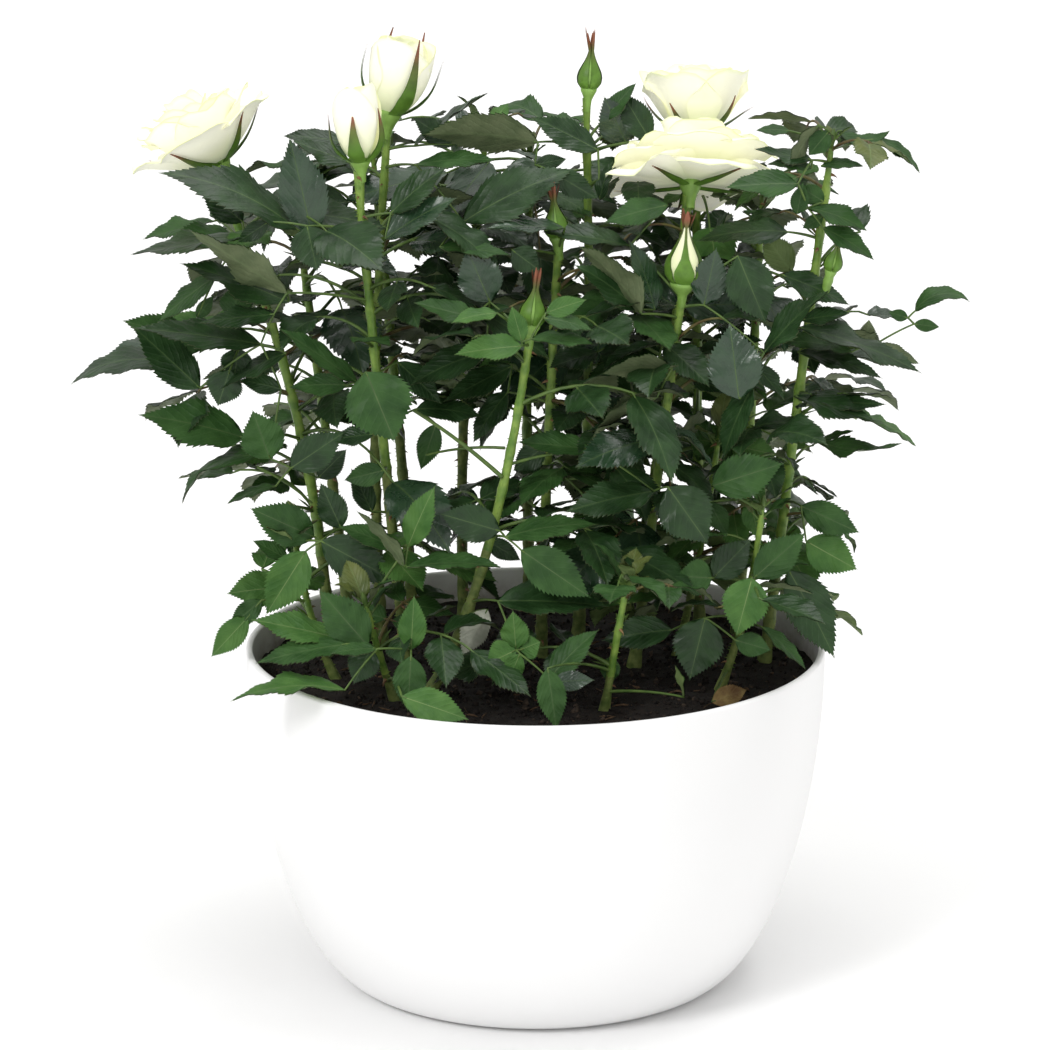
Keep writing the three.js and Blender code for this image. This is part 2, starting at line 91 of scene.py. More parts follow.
def seededDraws(seed):  # a stream of numbers from 0 to 1 that the seed alone decides
    state = [seed & 0xFFFFFFFF]

    def draw():
        state[0] = (state[0] + 0x6D2B79F5) & 0xFFFFFFFF
        t = ((state[0] ^ (state[0] >> 15)) * (state[0] | 1)) & 0xFFFFFFFF
        t = ((t + (((t ^ (t >> 7)) * (t | 61)) & 0xFFFFFFFF)) & 0xFFFFFFFF) ^ t
        return ((t ^ (t >> 14)) & 0xFFFFFFFF) / 2**32

    return draw


seeds = {
    "infill": 900001, "leaves": 700001, "front": 8200, "strays": 6100, "shoots": 5200, "canes": 4000, "buds": 1200,
    "creamBud": 977, "blooms": 310, "bristles": 90,
}


class MeshHeap:  # points and faces that become one piece
    def __init__(self):
        self.points, self.faces, self.slots, self.shares, self.places = [], [], [], [], []
        self.count = 0

    def add(self, points, faces, slot=0, share=None, place=None):
        points = np.asarray(points, float).reshape(-1, 3)
        faces = np.asarray(faces, int)
        self.points.append(points)
        self.faces.extend((faces + self.count).tolist())
        self.slots.append(np.broadcast_to(np.asarray(slot, int), len(faces)))
        self.shares.append(
            np.zeros(len(points)) if share is None else np.asarray(share, float).reshape(-1),
        )
        self.places.append(np.zeros((len(points), 2)) if place is None else place)
        self.count += len(points)


def gridFaces(rows, cols, closed=False):
    row, col = np.meshgrid(np.arange(rows - 1), np.arange(cols if closed else cols - 1), indexing="ij")
    near = row * cols + col
    side = row * cols + (col + 1) % cols
    return np.stack([near, side, side + cols, near + cols], -1).reshape(-1, 4)


underTurn = [0, 3, 2, 1]  # a face seen from below, split along the same diagonal


def makePiece(name, heap, materials, nodes=(), veined=False):
    mesh = bpy.data.meshes.new(name)
    mesh.from_pydata((np.concatenate(heap.points) * millimetre).tolist(), [], heap.faces)
    for material in materials:
        mesh.materials.append(material)
    mesh.polygons.foreach_set("material_index", np.concatenate(heap.slots).astype(np.int32))
    mesh.polygons.foreach_set("use_smooth", np.ones(len(mesh.polygons), bool))
    share = mesh.attributes.new("share", "FLOAT", "POINT")
    share.data.foreach_set("value", np.concatenate(heap.shares).astype(np.float32))
    if veined:  # where each point lies on its leaf, along and across
        place = mesh.attributes.new("place", "FLOAT2", "POINT")
        place.data.foreach_set("vector", np.concatenate(heap.places).astype(np.float32).ravel())
    mesh.update()
    piece = bpy.data.objects.new(name, mesh)
    bpy.context.scene.collection.objects.link(piece)
    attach(piece, "root")
    if nodes:
        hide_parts(*nodes)
    return piece


def sweptFrames(path):  # a pair of cross directions at each point of a path, without twist
    course = np.gradient(path, axis=0)
    course /= np.linalg.norm(course, axis=1)[:, None]
    lean = vec(1, 0, 0) if abs(course[0][2]) > 0.8 else vec(0, 0, 1)
    first = unit(lean - course[0] * np.dot(lean, course[0]))
    firsts = []
    for step in course:
        first = unit(first - step * np.dot(first, step))
        firsts.append(first)
    firsts = np.array(firsts)
    return course, firsts, np.cross(course, firsts)


def turnAngles(sides):
    return np.arange(sides) * 2 * math.pi / sides


def addTube(heap, path, radii, sides, slot=0):  # closed at its far end
    path, radii = np.asarray(path, float), np.asarray(radii, float)
    course, first, second = sweptFrames(path)
    angle = turnAngles(sides)
    if radii.ndim == 1:
        radii = radii[:, None] * np.ones(sides)
    ring = (
        path[:, None]
        + first[:, None] * (radii * np.cos(angle))[..., None]
        + second[:, None] * (radii * np.sin(angle))[..., None]
    )
    heap.add(ring, gridFaces(len(path), sides, closed=True), slot)
    tip = np.concatenate([ring[-1], [path[-1] + course[-1] * radii[-1].mean() * 0.5]])
    heap.add(tip, [[i, (i + 1) % sides, sides] for i in range(sides)], slot)


def addLathe(heap, profile, sides, slot=0):  # profile of radius and height
    angle = turnAngles(sides)
    profile = np.asarray(profile, float)
    radius, height = profile[:, 0], np.repeat(profile[:, 1:2], sides, 1)
    ring = np.stack([np.outer(radius, np.cos(angle)), np.outer(radius, np.sin(angle)), height], -1)
    heap.add(ring, gridFaces(len(profile), sides, closed=True), slot)


def curveThrough(start, middle, end, steps, until=1):  # passes the middle half way
    share = np.linspace(0, until, steps)[:, None]
    bend = 2 * middle - (start + end) / 2
    return start * (1 - share) ** 2 + bend * 2 * share * (1 - share) + end * share**2


cameraPlan = {
    "place": (-3.793, -1452.55, 541.82), "aim": (-3.793, 0, 167.54), "lens": 142.7, "sensor": 36, "sees": 50,
}
lightPlan = {  # soft lamps far off: where each stands, its power and the width of its face in degrees
    "key": {"place": (-1100, -1300, 1500), "power": 1.05, "spread": 16},
    "top": {"place": (200, 300, 2000), "power": 1.35, "spread": 40},
    "fill": {"place": (450, -1500, 380), "power": 0.38, "spread": 50},
}
surrounding = {"color": (1.0, 0.992, 0.98), "strength": 0.7}


def aimed(item, place, aim):
    course = unit(vec(*aim) - vec(*place))
    item.location = tuple(vec(*place) * millimetre)
    tilt = math.acos(-course[2])
    item.rotation_euler = (tilt, 0, math.atan2(-course[0], course[1]))


def makeStudio():
    camera = bpy.data.objects.new("camera", bpy.data.cameras.new("camera"))
    camera.data.lens = cameraPlan["lens"]
    camera.data.sensor_width = cameraPlan["sensor"]
    camera.data.clip_end = cameraPlan["sees"]  # metres
    aimed(camera, cameraPlan["place"], cameraPlan["aim"])
    bpy.context.scene.collection.objects.link(camera)
    bpy.context.scene.camera = camera
    for name, plan in lightPlan.items():
        light = bpy.data.lights.new(name, "SUN")
        light.energy, light.angle = plan["power"], math.radians(plan["spread"])
        lamp = bpy.data.objects.new(name, light)
        aimed(lamp, plan["place"], (0, 0, 170))
        bpy.context.scene.collection.objects.link(lamp)
    world = bpy.data.worlds.new("studio")
    world.use_nodes = True
    sky = world.node_tree.nodes["Background"]
    sky.inputs["Color"].default_value = (*surrounding["color"], 1)
    sky.inputs["Strength"].default_value = surrounding["strength"]
    bpy.context.scene.world = world
    bpy.context.scene.view_settings.view_transform = "Standard"


def newGroup(name, inputs, outputs):
    group = bpy.data.node_groups.new(name, "ShaderNodeTree")
    for labels, way in ((inputs, "INPUT"), (outputs, "OUTPUT")):
        for label, kind in labels.items():
            group.interface.new_socket(label, in_out=way, socket_type="NodeSocket" + kind)
    return group, group.nodes.new("NodeGroupInput"), group.nodes.new("NodeGroupOutput")


def addNode(tree, kind, sockets=(), **settings):  # its settings first, because they decide which sockets it has
    node = tree.nodes.new("ShaderNode" + kind)
    for label, value in settings.items():
        setattr(node, label, value)
    for label, value in dict(sockets).items():
        node.inputs[label].default_value = value
    return node


def wire(tree, *links):  # each from a node's output to a node's input
    for source, out, target, into in links:
        tree.links.new(source.outputs[out], target.inputs[into])


def makeMottleGroup():  # one colour clouded with another
    group, start, end = newGroup(
        "mottle",
        {"Deep": "Color", "Light": "Color", "Scale": "Float", "Low": "Float", "High": "Float"},
        {"Color": "Color", "Mask": "Float"},
    )
    spot = addNode(group, "TexCoord")
    noise = addNode(group, "TexNoise", {"Detail": 4})
    reach = addNode(group, "MapRange")
    blend = addNode(group, "Mix", data_type="RGBA")
    wire(
        group, (spot, "Object", noise, "Vector"), (start, "Scale", noise, "Scale"), (noise, "Fac", reach, "Value"),
        (start, "Low", reach, "From Min"), (start, "High", reach, "From Max"), (reach, "Result", blend, "Factor"),
        (start, "Deep", blend, "A"), (start, "Light", blend, "B"), (blend, "Result", end, "Color"),
        (reach, "Result", end, "Mask"),
    )
    return group


def makeReliefGroup():  # fine bumps
    group, start, end = newGroup(
        "fineRelief", {"Scale": "Float", "Detail": "Float", "Distance": "Float"}, {"Normal": "Vector"},
    )
    spot, noise, bump = addNode(group, "TexCoord"), addNode(group, "TexNoise"), addNode(group, "Bump")
    wire(
        group, (spot, "Object", noise, "Vector"), (start, "Scale", noise, "Scale"),
        (start, "Detail", noise, "Detail"), (noise, "Fac", bump, "Height"), (start, "Distance", bump, "Distance"),
        (bump, "Normal", end, "Normal"),
    )
    return group


# how the side veins fan out, the noise that bends them, how sharp they are, how narrow the midrib is, and the bulge
veinShape = {"fan": 0.16, "noise": 330, "sharp": 14, "ribNarrow": 9, "valley": 3, "blister": 2.2}


def makeVeinGroup():  # side veins that run forward from the midrib, and the blade bulging between them
    group, start, end = newGroup(
        "leafVeins", {"Pairs": "Float", "Forward": "Float", "Roughness": "Float"},
        {"Height": "Float", "Vein": "Float"},
    )
    link = group.links.new

    def maths(operation, first, second=None):
        node = addNode(group, "Math", operation=operation)
        for socket, value in zip(node.inputs, (first, second)):
            if isinstance(value, (int, float)):
                socket.default_value = value
            elif value is not None:
                link(value, socket)
        return node.outputs["Value"]

    where = addNode(group, "Attribute", attribute_name="place")
    spot = addNode(group, "TexCoord")
    split = addNode(group, "SeparateXYZ")
    noise = addNode(group, "TexNoise", {"Scale": veinShape["noise"]})
    wire(group, (where, "Vector", split, "Vector"), (spot, "Object", noise, "Vector"))
    across = maths("ABSOLUTE", split.outputs["Y"])
    fan = maths("ADD", start.outputs["Forward"], maths("MULTIPLY", across, veinShape["fan"]))
    line = maths("SUBTRACT", split.outputs["X"], maths("MULTIPLY", across, fan))
    waver = maths("MULTIPLY", maths("SUBTRACT", noise.outputs["Fac"], 0.5), start.outputs["Roughness"])
    phase = maths("FRACT", maths("MULTIPLY", maths("ADD", line, waver), start.outputs["Pairs"]))
    off = maths("MULTIPLY", maths("ABSOLUTE", maths("SUBTRACT", phase, 0.5)), 2)  # 1 on a vein, 0 between
    vein = maths("POWER", off, veinShape["sharp"])
    rib = maths("MAXIMUM", maths("SUBTRACT", 1, maths("MULTIPLY", across, veinShape["ribNarrow"])), 0)
    ground = maths("MULTIPLY", maths("POWER", off, veinShape["valley"]), -1)
    blister = maths("MULTIPLY", noise.outputs["Fac"], veinShape["blister"])
    link(maths("SUBTRACT", maths("ADD", ground, blister), rib), end.inputs["Height"])
    link(maths("MAXIMUM", vein, rib), end.inputs["Vein"])
    return group


mottleGroup, reliefGroup, veinGroup = makeMottleGroup(), makeReliefGroup(), makeVeinGroup()

cloudEdge = {"Low": 0.35, "High": 0.65}  # between these values of the noise the two colours blend
coatRough = 0.25
reliefDetail = 3
usualShine = 0.35

# deep and light colour, clouds a metre, lowest and highest roughness, bumps (scale, height in mm), shine, coat
finishes = {
    "planterWhite": ((0.845, 0.845, 0.845), (0.865, 0.865, 0.865), 9, (0.3, 0.36), (900, 0.012), 0.5, 0.15),
    "soilDark": ((0.005, 0.004, 0.0035), (0.024, 0.017, 0.013), 700, (0.85, 1.0), (1500, 0.5)),
    "soilBrown": ((0.018, 0.012, 0.009), (0.085, 0.06, 0.042), 500, (0.8, 0.95), (1600, 0.4)),
    "barkFibre": ((0.05, 0.028, 0.014), (0.14, 0.085, 0.045), 600, (0.7, 0.9), (1800, 0.2)),
    "caneGreen": ((0.095, 0.195, 0.028), (0.235, 0.355, 0.065), 220, (0.34, 0.5), (1400, 0.08)),
    "caneOld": ((0.075, 0.12, 0.022), (0.2, 0.25, 0.07), 320, (0.5, 0.7), (1200, 0.15)),
    "prickleRed": ((0.11, 0.045, 0.02), (0.27, 0.17, 0.07), 500, (0.4, 0.55), (1500, 0.03)),
    "petioleGreen": ((0.055, 0.105, 0.022), (0.11, 0.18, 0.04), 250, (0.4, 0.55), (1500, 0.05)),
    "petioleRed": ((0.09, 0.055, 0.025), (0.15, 0.14, 0.045), 250, (0.4, 0.55), (1500, 0.05)),
    "leafDeep": ((0.01, 0.031, 0.008), (0.02, 0.055, 0.014), 130, (0.34, 0.46), (800, 0.1), 0.28, 0.05),
    "leafBlue": ((0.011, 0.034, 0.014), (0.023, 0.058, 0.024), 120, (0.24, 0.34), (800, 0.1), 0.45, 0.28),
    "leafMid": ((0.02, 0.059, 0.013), (0.037, 0.094, 0.022), 130, (0.42, 0.55), (800, 0.1), 0.2),
    "leafFresh": ((0.04, 0.112, 0.022), (0.07, 0.16, 0.035), 140, (0.44, 0.58), (850, 0.1), 0.2),
    "leafYoung": ((0.075, 0.11, 0.022), (0.12, 0.145, 0.035), 140, (0.38, 0.5), (850, 0.08)),
    "underGrey": ((0.085, 0.115, 0.052), (0.125, 0.155, 0.075), 150, (0.55, 0.7), (900, 0.12)),
    "underFresh": ((0.11, 0.17, 0.05), (0.155, 0.22, 0.075), 150, (0.55, 0.7), (900, 0.12)),
    "ribPale": ((0.045, 0.085, 0.024), (0.07, 0.12, 0.036), 200, (0.4, 0.5), (900, 0.05)),
    "leafDry": ((0.34, 0.36, 0.28), (0.5, 0.52, 0.43), 260, (0.7, 0.85), (900, 0.3)),
    "leafBrown": ((0.13, 0.07, 0.025), (0.3, 0.22, 0.08), 160, (0.7, 0.85), (900, 0.3)),
    "sepalGreen": ((0.1, 0.22, 0.03), (0.2, 0.36, 0.07), 260, (0.42, 0.55), (1500, 0.06)),
    "sepalRed": ((0.16, 0.055, 0.03), (0.26, 0.13, 0.07), 260, (0.45, 0.6), (1500, 0.06)),
}


def makeFinish(name, deep, light, scale, rough, bump, shine=usualShine, coat=0):
    material = bpy.data.materials.new(name)
    material.use_nodes = True
    tree = material.node_tree
    shader = tree.nodes["Principled BSDF"]
    colors = {"Deep": (*deep, 1), "Light": (*light, 1), "Scale": scale, **cloudEdge}
    clouds = addNode(tree, "Group", colors, node_tree=mottleGroup, name="clouds")
    reach = addNode(tree, "MapRange", {"To Min": rough[0], "To Max": rough[1]})
    bumps = {"Scale": bump[0], "Detail": reliefDetail, "Distance": bump[1] * millimetre}
    relief = addNode(tree, "Group", bumps, node_tree=reliefGroup)
    wire(
        tree, (clouds, "Color", shader, "Base Color"), (clouds, "Mask", reach, "Value"),
        (reach, "Result", shader, "Roughness"), (relief, "Normal", shader, "Normal"),
    )
    shader.inputs["Specular IOR Level"].default_value = shine
    shader.inputs["Coat Weight"].default_value = coat
    shader.inputs["Coat Roughness"].default_value = coatRough
    return material


finish = {name: makeFinish(name, *plan) for name, plan in finishes.items()}

veinPlan = {"pairs": 7.5, "forward": 0.3, "waver": 0.06, "relief": 0.08, "share": 0.34}
veinLight = {"top": (0.028, 0.045, 0.022, 1), "under": (0.05, 0.075, 0.03, 1)}


def addVeins(material, under):
    tree = material.node_tree
    shader = tree.nodes["Principled BSDF"]
    lines = {"Pairs": veinPlan["pairs"], "Forward": veinPlan["forward"], "Roughness": veinPlan["waver"]}
    veins = addNode(tree, "Group", lines, node_tree=veinGroup)
    color, normal = (shader.inputs[label].links[0].from_socket for label in ("Base Color", "Normal"))
    pale = {"B": veinLight["under" if under else "top"]}
    lighter = addNode(tree, "Mix", pale, data_type="RGBA", blend_type="ADD")
    share = addNode(tree, "Math", {1: veinPlan["share"]}, operation="MULTIPLY")
    bump = addNode(tree, "Bump", {"Distance": veinPlan["relief"] * millimetre}, invert=under)
    tree.links.new(color, lighter.inputs["A"])
    tree.links.new(normal, bump.inputs["Normal"])
    wire(
        tree, (veins, "Vein", share, 0), (share, "Value", lighter, "Factor"),
        (lighter, "Result", shader, "Base Color"), (veins, "Height", bump, "Height"),
        (bump, "Normal", shader, "Normal"),
    )


for name in finishes:
    if name.startswith(("leaf", "under")):
        addVeins(finish[name], name.startswith("under"))


petalPaintedGlow = (1, 0.985, 0.8, 1)  # painted glow: a cream light that the petals give off themselves, standing in for light passing the thin petals and filling their shade


def makeGraded(name, plan):  # as a finish, its colour changing from root to tip, plus a painted glow given off as emission
    material = makeFinish(name, *plan["cloud"])
    tree = material.node_tree
    shader = tree.nodes["Principled BSDF"]
    where = addNode(tree, "Attribute", attribute_name="share")
    ramp = addNode(tree, "ValToRGB")
    stops = plan["stops"]
    while len(ramp.color_ramp.elements) < len(stops):
        ramp.color_ramp.elements.new(0.5)
    for element, (place, color) in zip(ramp.color_ramp.elements, stops):
        element.position, element.color = place, (*color, 1)
    blend = addNode(tree, "Mix", {"Factor": 1}, data_type="RGBA", blend_type="MULTIPLY")
    wire(
        tree, (where, "Fac", ramp, "Fac"), (ramp, "Color", blend, "A"), (tree.nodes["clouds"], "Color", blend, "B"),
        (blend, "Result", shader, "Base Color"),
    )
    # painted glow: the surface gives off light of its own, brightening it and its shade
    shader.inputs["Emission Color"].default_value = petalPaintedGlow
    shader.inputs["Emission Strength"].default_value = plan["through"]
    return material


# cloud: as the row of a finish; through: strength of the painted glow the petals give off; stops: place from root to
# tip, and colour
gradedFinishes = {
    "petalCream": {
        "cloud": ((0.985, 0.985, 0.985), (1, 1, 1), 60, (0.5, 0.6), (500, 0.12), 0.2), "through": 0.1,
        "stops": [
            (0, (0.52, 0.63, 0.22)), (0.22, (0.86, 0.88, 0.52)), (0.55, (0.945, 0.942, 0.78)),
            (0.9, (0.955, 0.955, 0.85)), (1, (0.88, 0.92, 0.64)),
        ],
    },
    "petalBud": {
        "cloud": ((0.97, 0.97, 0.97), (1, 1, 1), 60, (0.5, 0.6), (500, 0.12), 0.2), "through": 0.15,
        "stops": [
            (0, (0.5, 0.62, 0.2)), (0.25, (0.88, 0.9, 0.6)), (0.7, (0.97, 0.97, 0.82)), (0.95, (0.96, 0.97, 0.78)),
            (1, (0.86, 0.92, 0.6)),
        ],
    },
    # outer side of the petals: partly their own greener colour, partly painted shade, darker and greener towards the
    # root
    "petalOutside": {
        "cloud": ((0.95, 0.95, 0.95), (1, 1, 1), 60, (0.5, 0.6), (500, 0.12), 0.2), "through": 0.2,
        "stops": [
            (0, (0.38, 0.5, 0.14)), (0.22, (0.74, 0.78, 0.46)), (0.55, (0.94, 0.935, 0.74)),
            (0.93, (0.98, 0.97, 0.84)), (1, (0.86, 0.91, 0.62)),
        ],
    },
    "sepalTinted": {
        "cloud": ((0.8, 0.8, 0.8), (1.15, 1.15, 1.15), 260, (0.42, 0.55), (1500, 0.06)), "through": 0,
        "stops": [
            (0, (0.13, 0.27, 0.035)), (0.45, (0.085, 0.18, 0.02)), (0.72, (0.11, 0.13, 0.03)),
            (0.86, (0.24, 0.085, 0.045)), (1, (0.3, 0.11, 0.06)),
        ],
    },
    "budGreen": {
        "cloud": ((0.85, 0.85, 0.85), (1.1, 1.1, 1.1), 260, (0.35, 0.5), (1500, 0.06)), "through": 0,
        "stops": [
            (0, (0.17, 0.34, 0.05)), (0.5, (0.24, 0.42, 0.09)), (0.8, (0.14, 0.28, 0.05)), (1, (0.1, 0.17, 0.04)),
        ],
    },
    "hipGreen": {
        "cloud": ((0.85, 0.85, 0.85), (1.1, 1.1, 1.1), 260, (0.32, 0.45), (1500, 0.05)), "through": 0,
        "stops": [(0, (0.19, 0.34, 0.06)), (0.6, (0.26, 0.45, 0.1)), (1, (0.2, 0.38, 0.08))],
    },
}
finish.update({name: makeGraded(name, plan) for name, plan in gradedFinishes.items()})

# heights in metres
dustAndShadePlan = {"top": 0.1215, "foot": 0.1120, "scale": 260, "detail": 5, "color": (0.16, 0.11, 0.075, 1)}


def makeInnerWall():  # the planter's white, browner towards the soil: soil dusting and painted shade
    material = makeFinish("planterInside", *finishes["planterWhite"])
    tree = material.node_tree
    shader = tree.nodes["Principled BSDF"]
    clean = shader.inputs["Base Color"].links[0].from_socket
    spot, split = addNode(tree, "TexCoord"), addNode(tree, "SeparateXYZ")
    # soil dusting and painted shade: a brown clouded in by noise, strongest at the soil
    height = addNode(tree, "MapRange", {"From Min": dustAndShadePlan["top"], "From Max": dustAndShadePlan["foot"]})
    dustAndShade = addNode(tree, "TexNoise", {"Scale": dustAndShadePlan["scale"], "Detail": dustAndShadePlan["detail"]})
    both = addNode(tree, "Math", operation="MULTIPLY")
    blend = addNode(tree, "Mix", {"B": dustAndShadePlan["color"]}, data_type="RGBA")
    tree.links.new(clean, blend.inputs["A"])
    wire(
        tree, (spot, "Object", split, "Vector"), (split, "Z", height, "Value"), (spot, "Object", dustAndShade, "Vector"),
        (height, "Result", both, 0), (dustAndShade, "Fac", both, 1), (both, "Value", blend, "Factor"),
        (blend, "Result", shader, "Base Color"),
    )
    return material


finish["planterInside"] = makeInnerWall()

floorPlan = {"sides": 96, "radii": (0.1, 200, 600, 1500, 3500, 6000)}
floorPaper = ((0.93, 0.93, 0.93), (0.95, 0.95, 0.95), 5, (0.6, 0.7), (300, 0.05))


def makeFloor():
    heap = MeshHeap()
    addLathe(heap, [(radius, 0) for radius in floorPlan["radii"]], floorPlan["sides"])
    mesh = bpy.data.meshes.new("floor")
    mesh.from_pydata((np.concatenate(heap.points) * millimetre).tolist(), [], heap.faces)
    floor = bpy.data.objects.new("floor", mesh)
    bpy.context.scene.collection.objects.link(floor)
    mesh.materials.append(makeFinish("floorPaper", *floorPaper))


makeStudio()
makeFloor()
print("studio ready")


seat = 0.3  # kept clear between one part and the next
planterPlan = {
    "height": 124, "rimRadius": 105, "footRadius": 66, "wall": 2.6, "soilDepth": 12, "rise": 1.94, "belly": 1.72,
    "sides": 160, "rows": 44, "rowBias": 1.6, "footTop": 1.6, "rimRound": 1.3, "lipFrom": 0.25, "lipPoints": 7,
    "innerPoints": 12, "innerBelow": 8, "underside": ((0.05, 0), (30, 0), (60, 0), (63.5, 0), (65.2, 0.25)),
}
soilTop = planterPlan["height"] - planterPlan["soilDepth"]


def bowlRadius(height):
    share = np.clip(1 - height / planterPlan["height"], 0, 1)
    fullness = np.clip(1 - share ** planterPlan["rise"], 0, 1) ** (1 / planterPlan["belly"])
    return mix(planterPlan["footRadius"], planterPlan["rimRadius"], fullness)


def makePlanter():
    plan = planterPlan
    heap = MeshHeap()
    half = plan["rimRound"]
    rimFoot = plan["height"] - half
    heights = mix(plan["footTop"], rimFoot, np.linspace(0, 1, plan["rows"]) ** plan["rowBias"])
    outside = [*plan["underside"], (bowlRadius(0.9) - 0.5, 0.8), *zip(bowlRadius(heights), heights)]
    lip = [
        (plan["rimRadius"] - half + half * math.cos(a), rimFoot + half * math.sin(a))
        for a in np.linspace(plan["lipFrom"], math.pi - plan["lipFrom"], plan["lipPoints"])
    ]
    inner = np.linspace(rimFoot, soilTop - plan["innerBelow"], plan["innerPoints"])
    profile = outside + lip + list(zip(bowlRadius(inner) - plan["wall"], inner))
    slots = np.repeat([0] * (len(outside) + len(lip) - 1) + [1] * (len(inner)), plan["sides"])
    addLathe(heap, profile, plan["sides"], slots[: (len(profile) - 1) * plan["sides"]])
    materials = [finish["planterWhite"], finish["planterInside"]]
    makePiece("planterShell", heap, materials, ["planter"])


makePlanter()
print("planter ready")


soilPlan = {
    "rings": 70, "sides": 220, "ringBias": 0.72, "lumps": 1.9, "crumbs": 2600, "crumbSize": (0.5, 1.5),
    "darkShare": 0.78, "fibres": 170, "fibreLength": (2, 7), "fibreRadii": (0.2, 0.45, 0.4, 0.12), "seed": 5,
    "sunk": 1.1, "settled": 0.4, "crumbMargin": 2.5, "crumbBias": 2.2, "crumbUneven": (0.6, 1.2),
    "crumbFlat": (0.6, 1.1), "crumbRise": 0.25, "fibreMargin": 6, "fibreRise": 0.5, "fibreTilt": (-6, 16),
    "fibreSag": 0.4, "fibreSize": (0.5, 1.2),
}
soilNoise = ((16, 1, 0.5), (6, 2, 0.32), (2.4, 3, 0.26))  # cell in mm, seed, weight


def valueNoise(points, cell, seed):  # smooth noise from 0 to 1 on a plane
    rng = np.random.default_rng(seed)
    table = rng.random((64, 64))
    spot = points / cell + 32
    low = np.floor(spot).astype(int)
    part = spot - low
    part = part * part * (3 - 2 * part)
    x, y = low[..., 0] % 64, low[..., 1] % 64
    x1, y1 = (x + 1) % 64, (y + 1) % 64
    near = mix(table[x, y], table[x1, y], part[..., 0])
    far = mix(table[x, y1], table[x1, y1], part[..., 0])
    return mix(near, far, part[..., 1])


def soilHeight(points):
    coarse, middle, fine = (valueNoise(points, cell, seed) * weight for cell, seed, weight in soilNoise)
    return soilTop - soilPlan["sunk"] + (coarse + middle + fine) * soilPlan["lumps"] * 2 - soilPlan["settled"]


def randomTurn(rng):
    return np.linalg.qr(rng.normal(size=(3, 3)))[0]


def makeSoil():
    plan = soilPlan
    rng = np.random.default_rng(plan["seed"])
    heap = MeshHeap()
    edge = float(bowlRadius(soilTop)) - planterPlan["wall"] - 0.05
    radii = edge * np.linspace(0.002, 1, plan["rings"]) ** plan["ringBias"]
    angle = turnAngles(plan["sides"])
    flat = np.stack([np.outer(radii, np.cos(angle)), np.outer(radii, np.sin(angle))], -1)
    ring = np.concatenate([flat, soilHeight(flat)[..., None]], -1)
    heap.add(ring, gridFaces(plan["rings"], plan["sides"], closed=True))

    def someSpot(margin, above):
        spot = headingVector(rng.random() * 360, 0) * (edge - margin) * math.sqrt(rng.random())
        spot[2] = soilHeight(spot[:2]) + above
        return spot

    corners = np.array([[1, 0, 0], [-1, 0, 0], [0, 1, 0], [0, -1, 0], [0, 0, 1], [0, 0, -1]], float)
    facets = [[0, 2, 4], [2, 1, 4], [1, 3, 4], [3, 0, 4], [2, 0, 5], [1, 2, 5], [3, 1, 5], [0, 3, 5]]
    smallest, spreadOfSize = plan["crumbSize"]
    for i in range(plan["crumbs"]):
        spot = someSpot(plan["crumbMargin"], 0)
        size = smallest + spreadOfSize * rng.random() ** plan["crumbBias"]
        lump = corners * (size * rng.uniform(*plan["crumbUneven"], (6, 1))) * rng.uniform(*plan["crumbFlat"], 3)
        lump = lump @ randomTurn(rng)
        spot[2] += size * plan["crumbRise"]
        heap.add(lump + spot, facets, 0 if rng.random() < plan["darkShare"] else 1)
    for i in range(plan["fibres"]):
        spot = someSpot(plan["fibreMargin"], plan["fibreRise"])
        course = headingVector(rng.random() * 360, rng.uniform(*plan["fibreTilt"]))
        length = rng.uniform(*plan["fibreLength"])
        sag = vec(*rng.normal(size=3)) * plan["fibreSag"]
        path = curveThrough(spot - course * length / 2, spot + sag, spot + course * length / 2, 4)
        addTube(heap, path, np.array(plan["fibreRadii"]) * rng.uniform(*plan["fibreSize"]), 4, 2)
    materials = [finish[name] for name in ("soilDark", "soilBrown", "barkFibre")]
    makePiece("soilBed", heap, materials, ["potting_soil"])


makeSoil()
print("soil ready")


canePlan = {"footRadius": 2.3, "tipRadius": 1.5, "flare": 0.9, "flareHeight": 9}
leafPlan = {
    "spacing": 14.5, "endRoom": 3.5, "turn": 144, "rachis": 50, "rachisRadius": 0.75, "bendAt": 0.5, "sag": 34,
    "terminal": {"at": 1, "length": 40, "width": 25, "splay": 0, "sunk": 0.5},
    "upperPair": {"at": 0.76, "length": 32, "width": 21, "splay": 56, "sunk": 0},
    "lowerPair": {"at": 0.38, "length": 26, "width": 17, "splay": 64, "sunk": 0},
    "youngReach": 0.7, "widestAt": 0.42, "fold": 0.1, "room": 0.3, "clearance": 0.2, "fewest": 3, "tries": 16,
}
spread = {
    "heading": (20, 12), "rise": (24, 3), "roll": 44, "droop": (0.18, 0.45), "twist": 26,
    "size": 0.2, "leafletSize": 0.16, "shrink": 0.015,
}
topLeaf = {"rise": 34, "size": 0.85, "pairs": ["upperPair"]}
sideLeaf = {"rise": 22, "size": 1.03, "pairs": ["upperPair", "lowerPair"]}

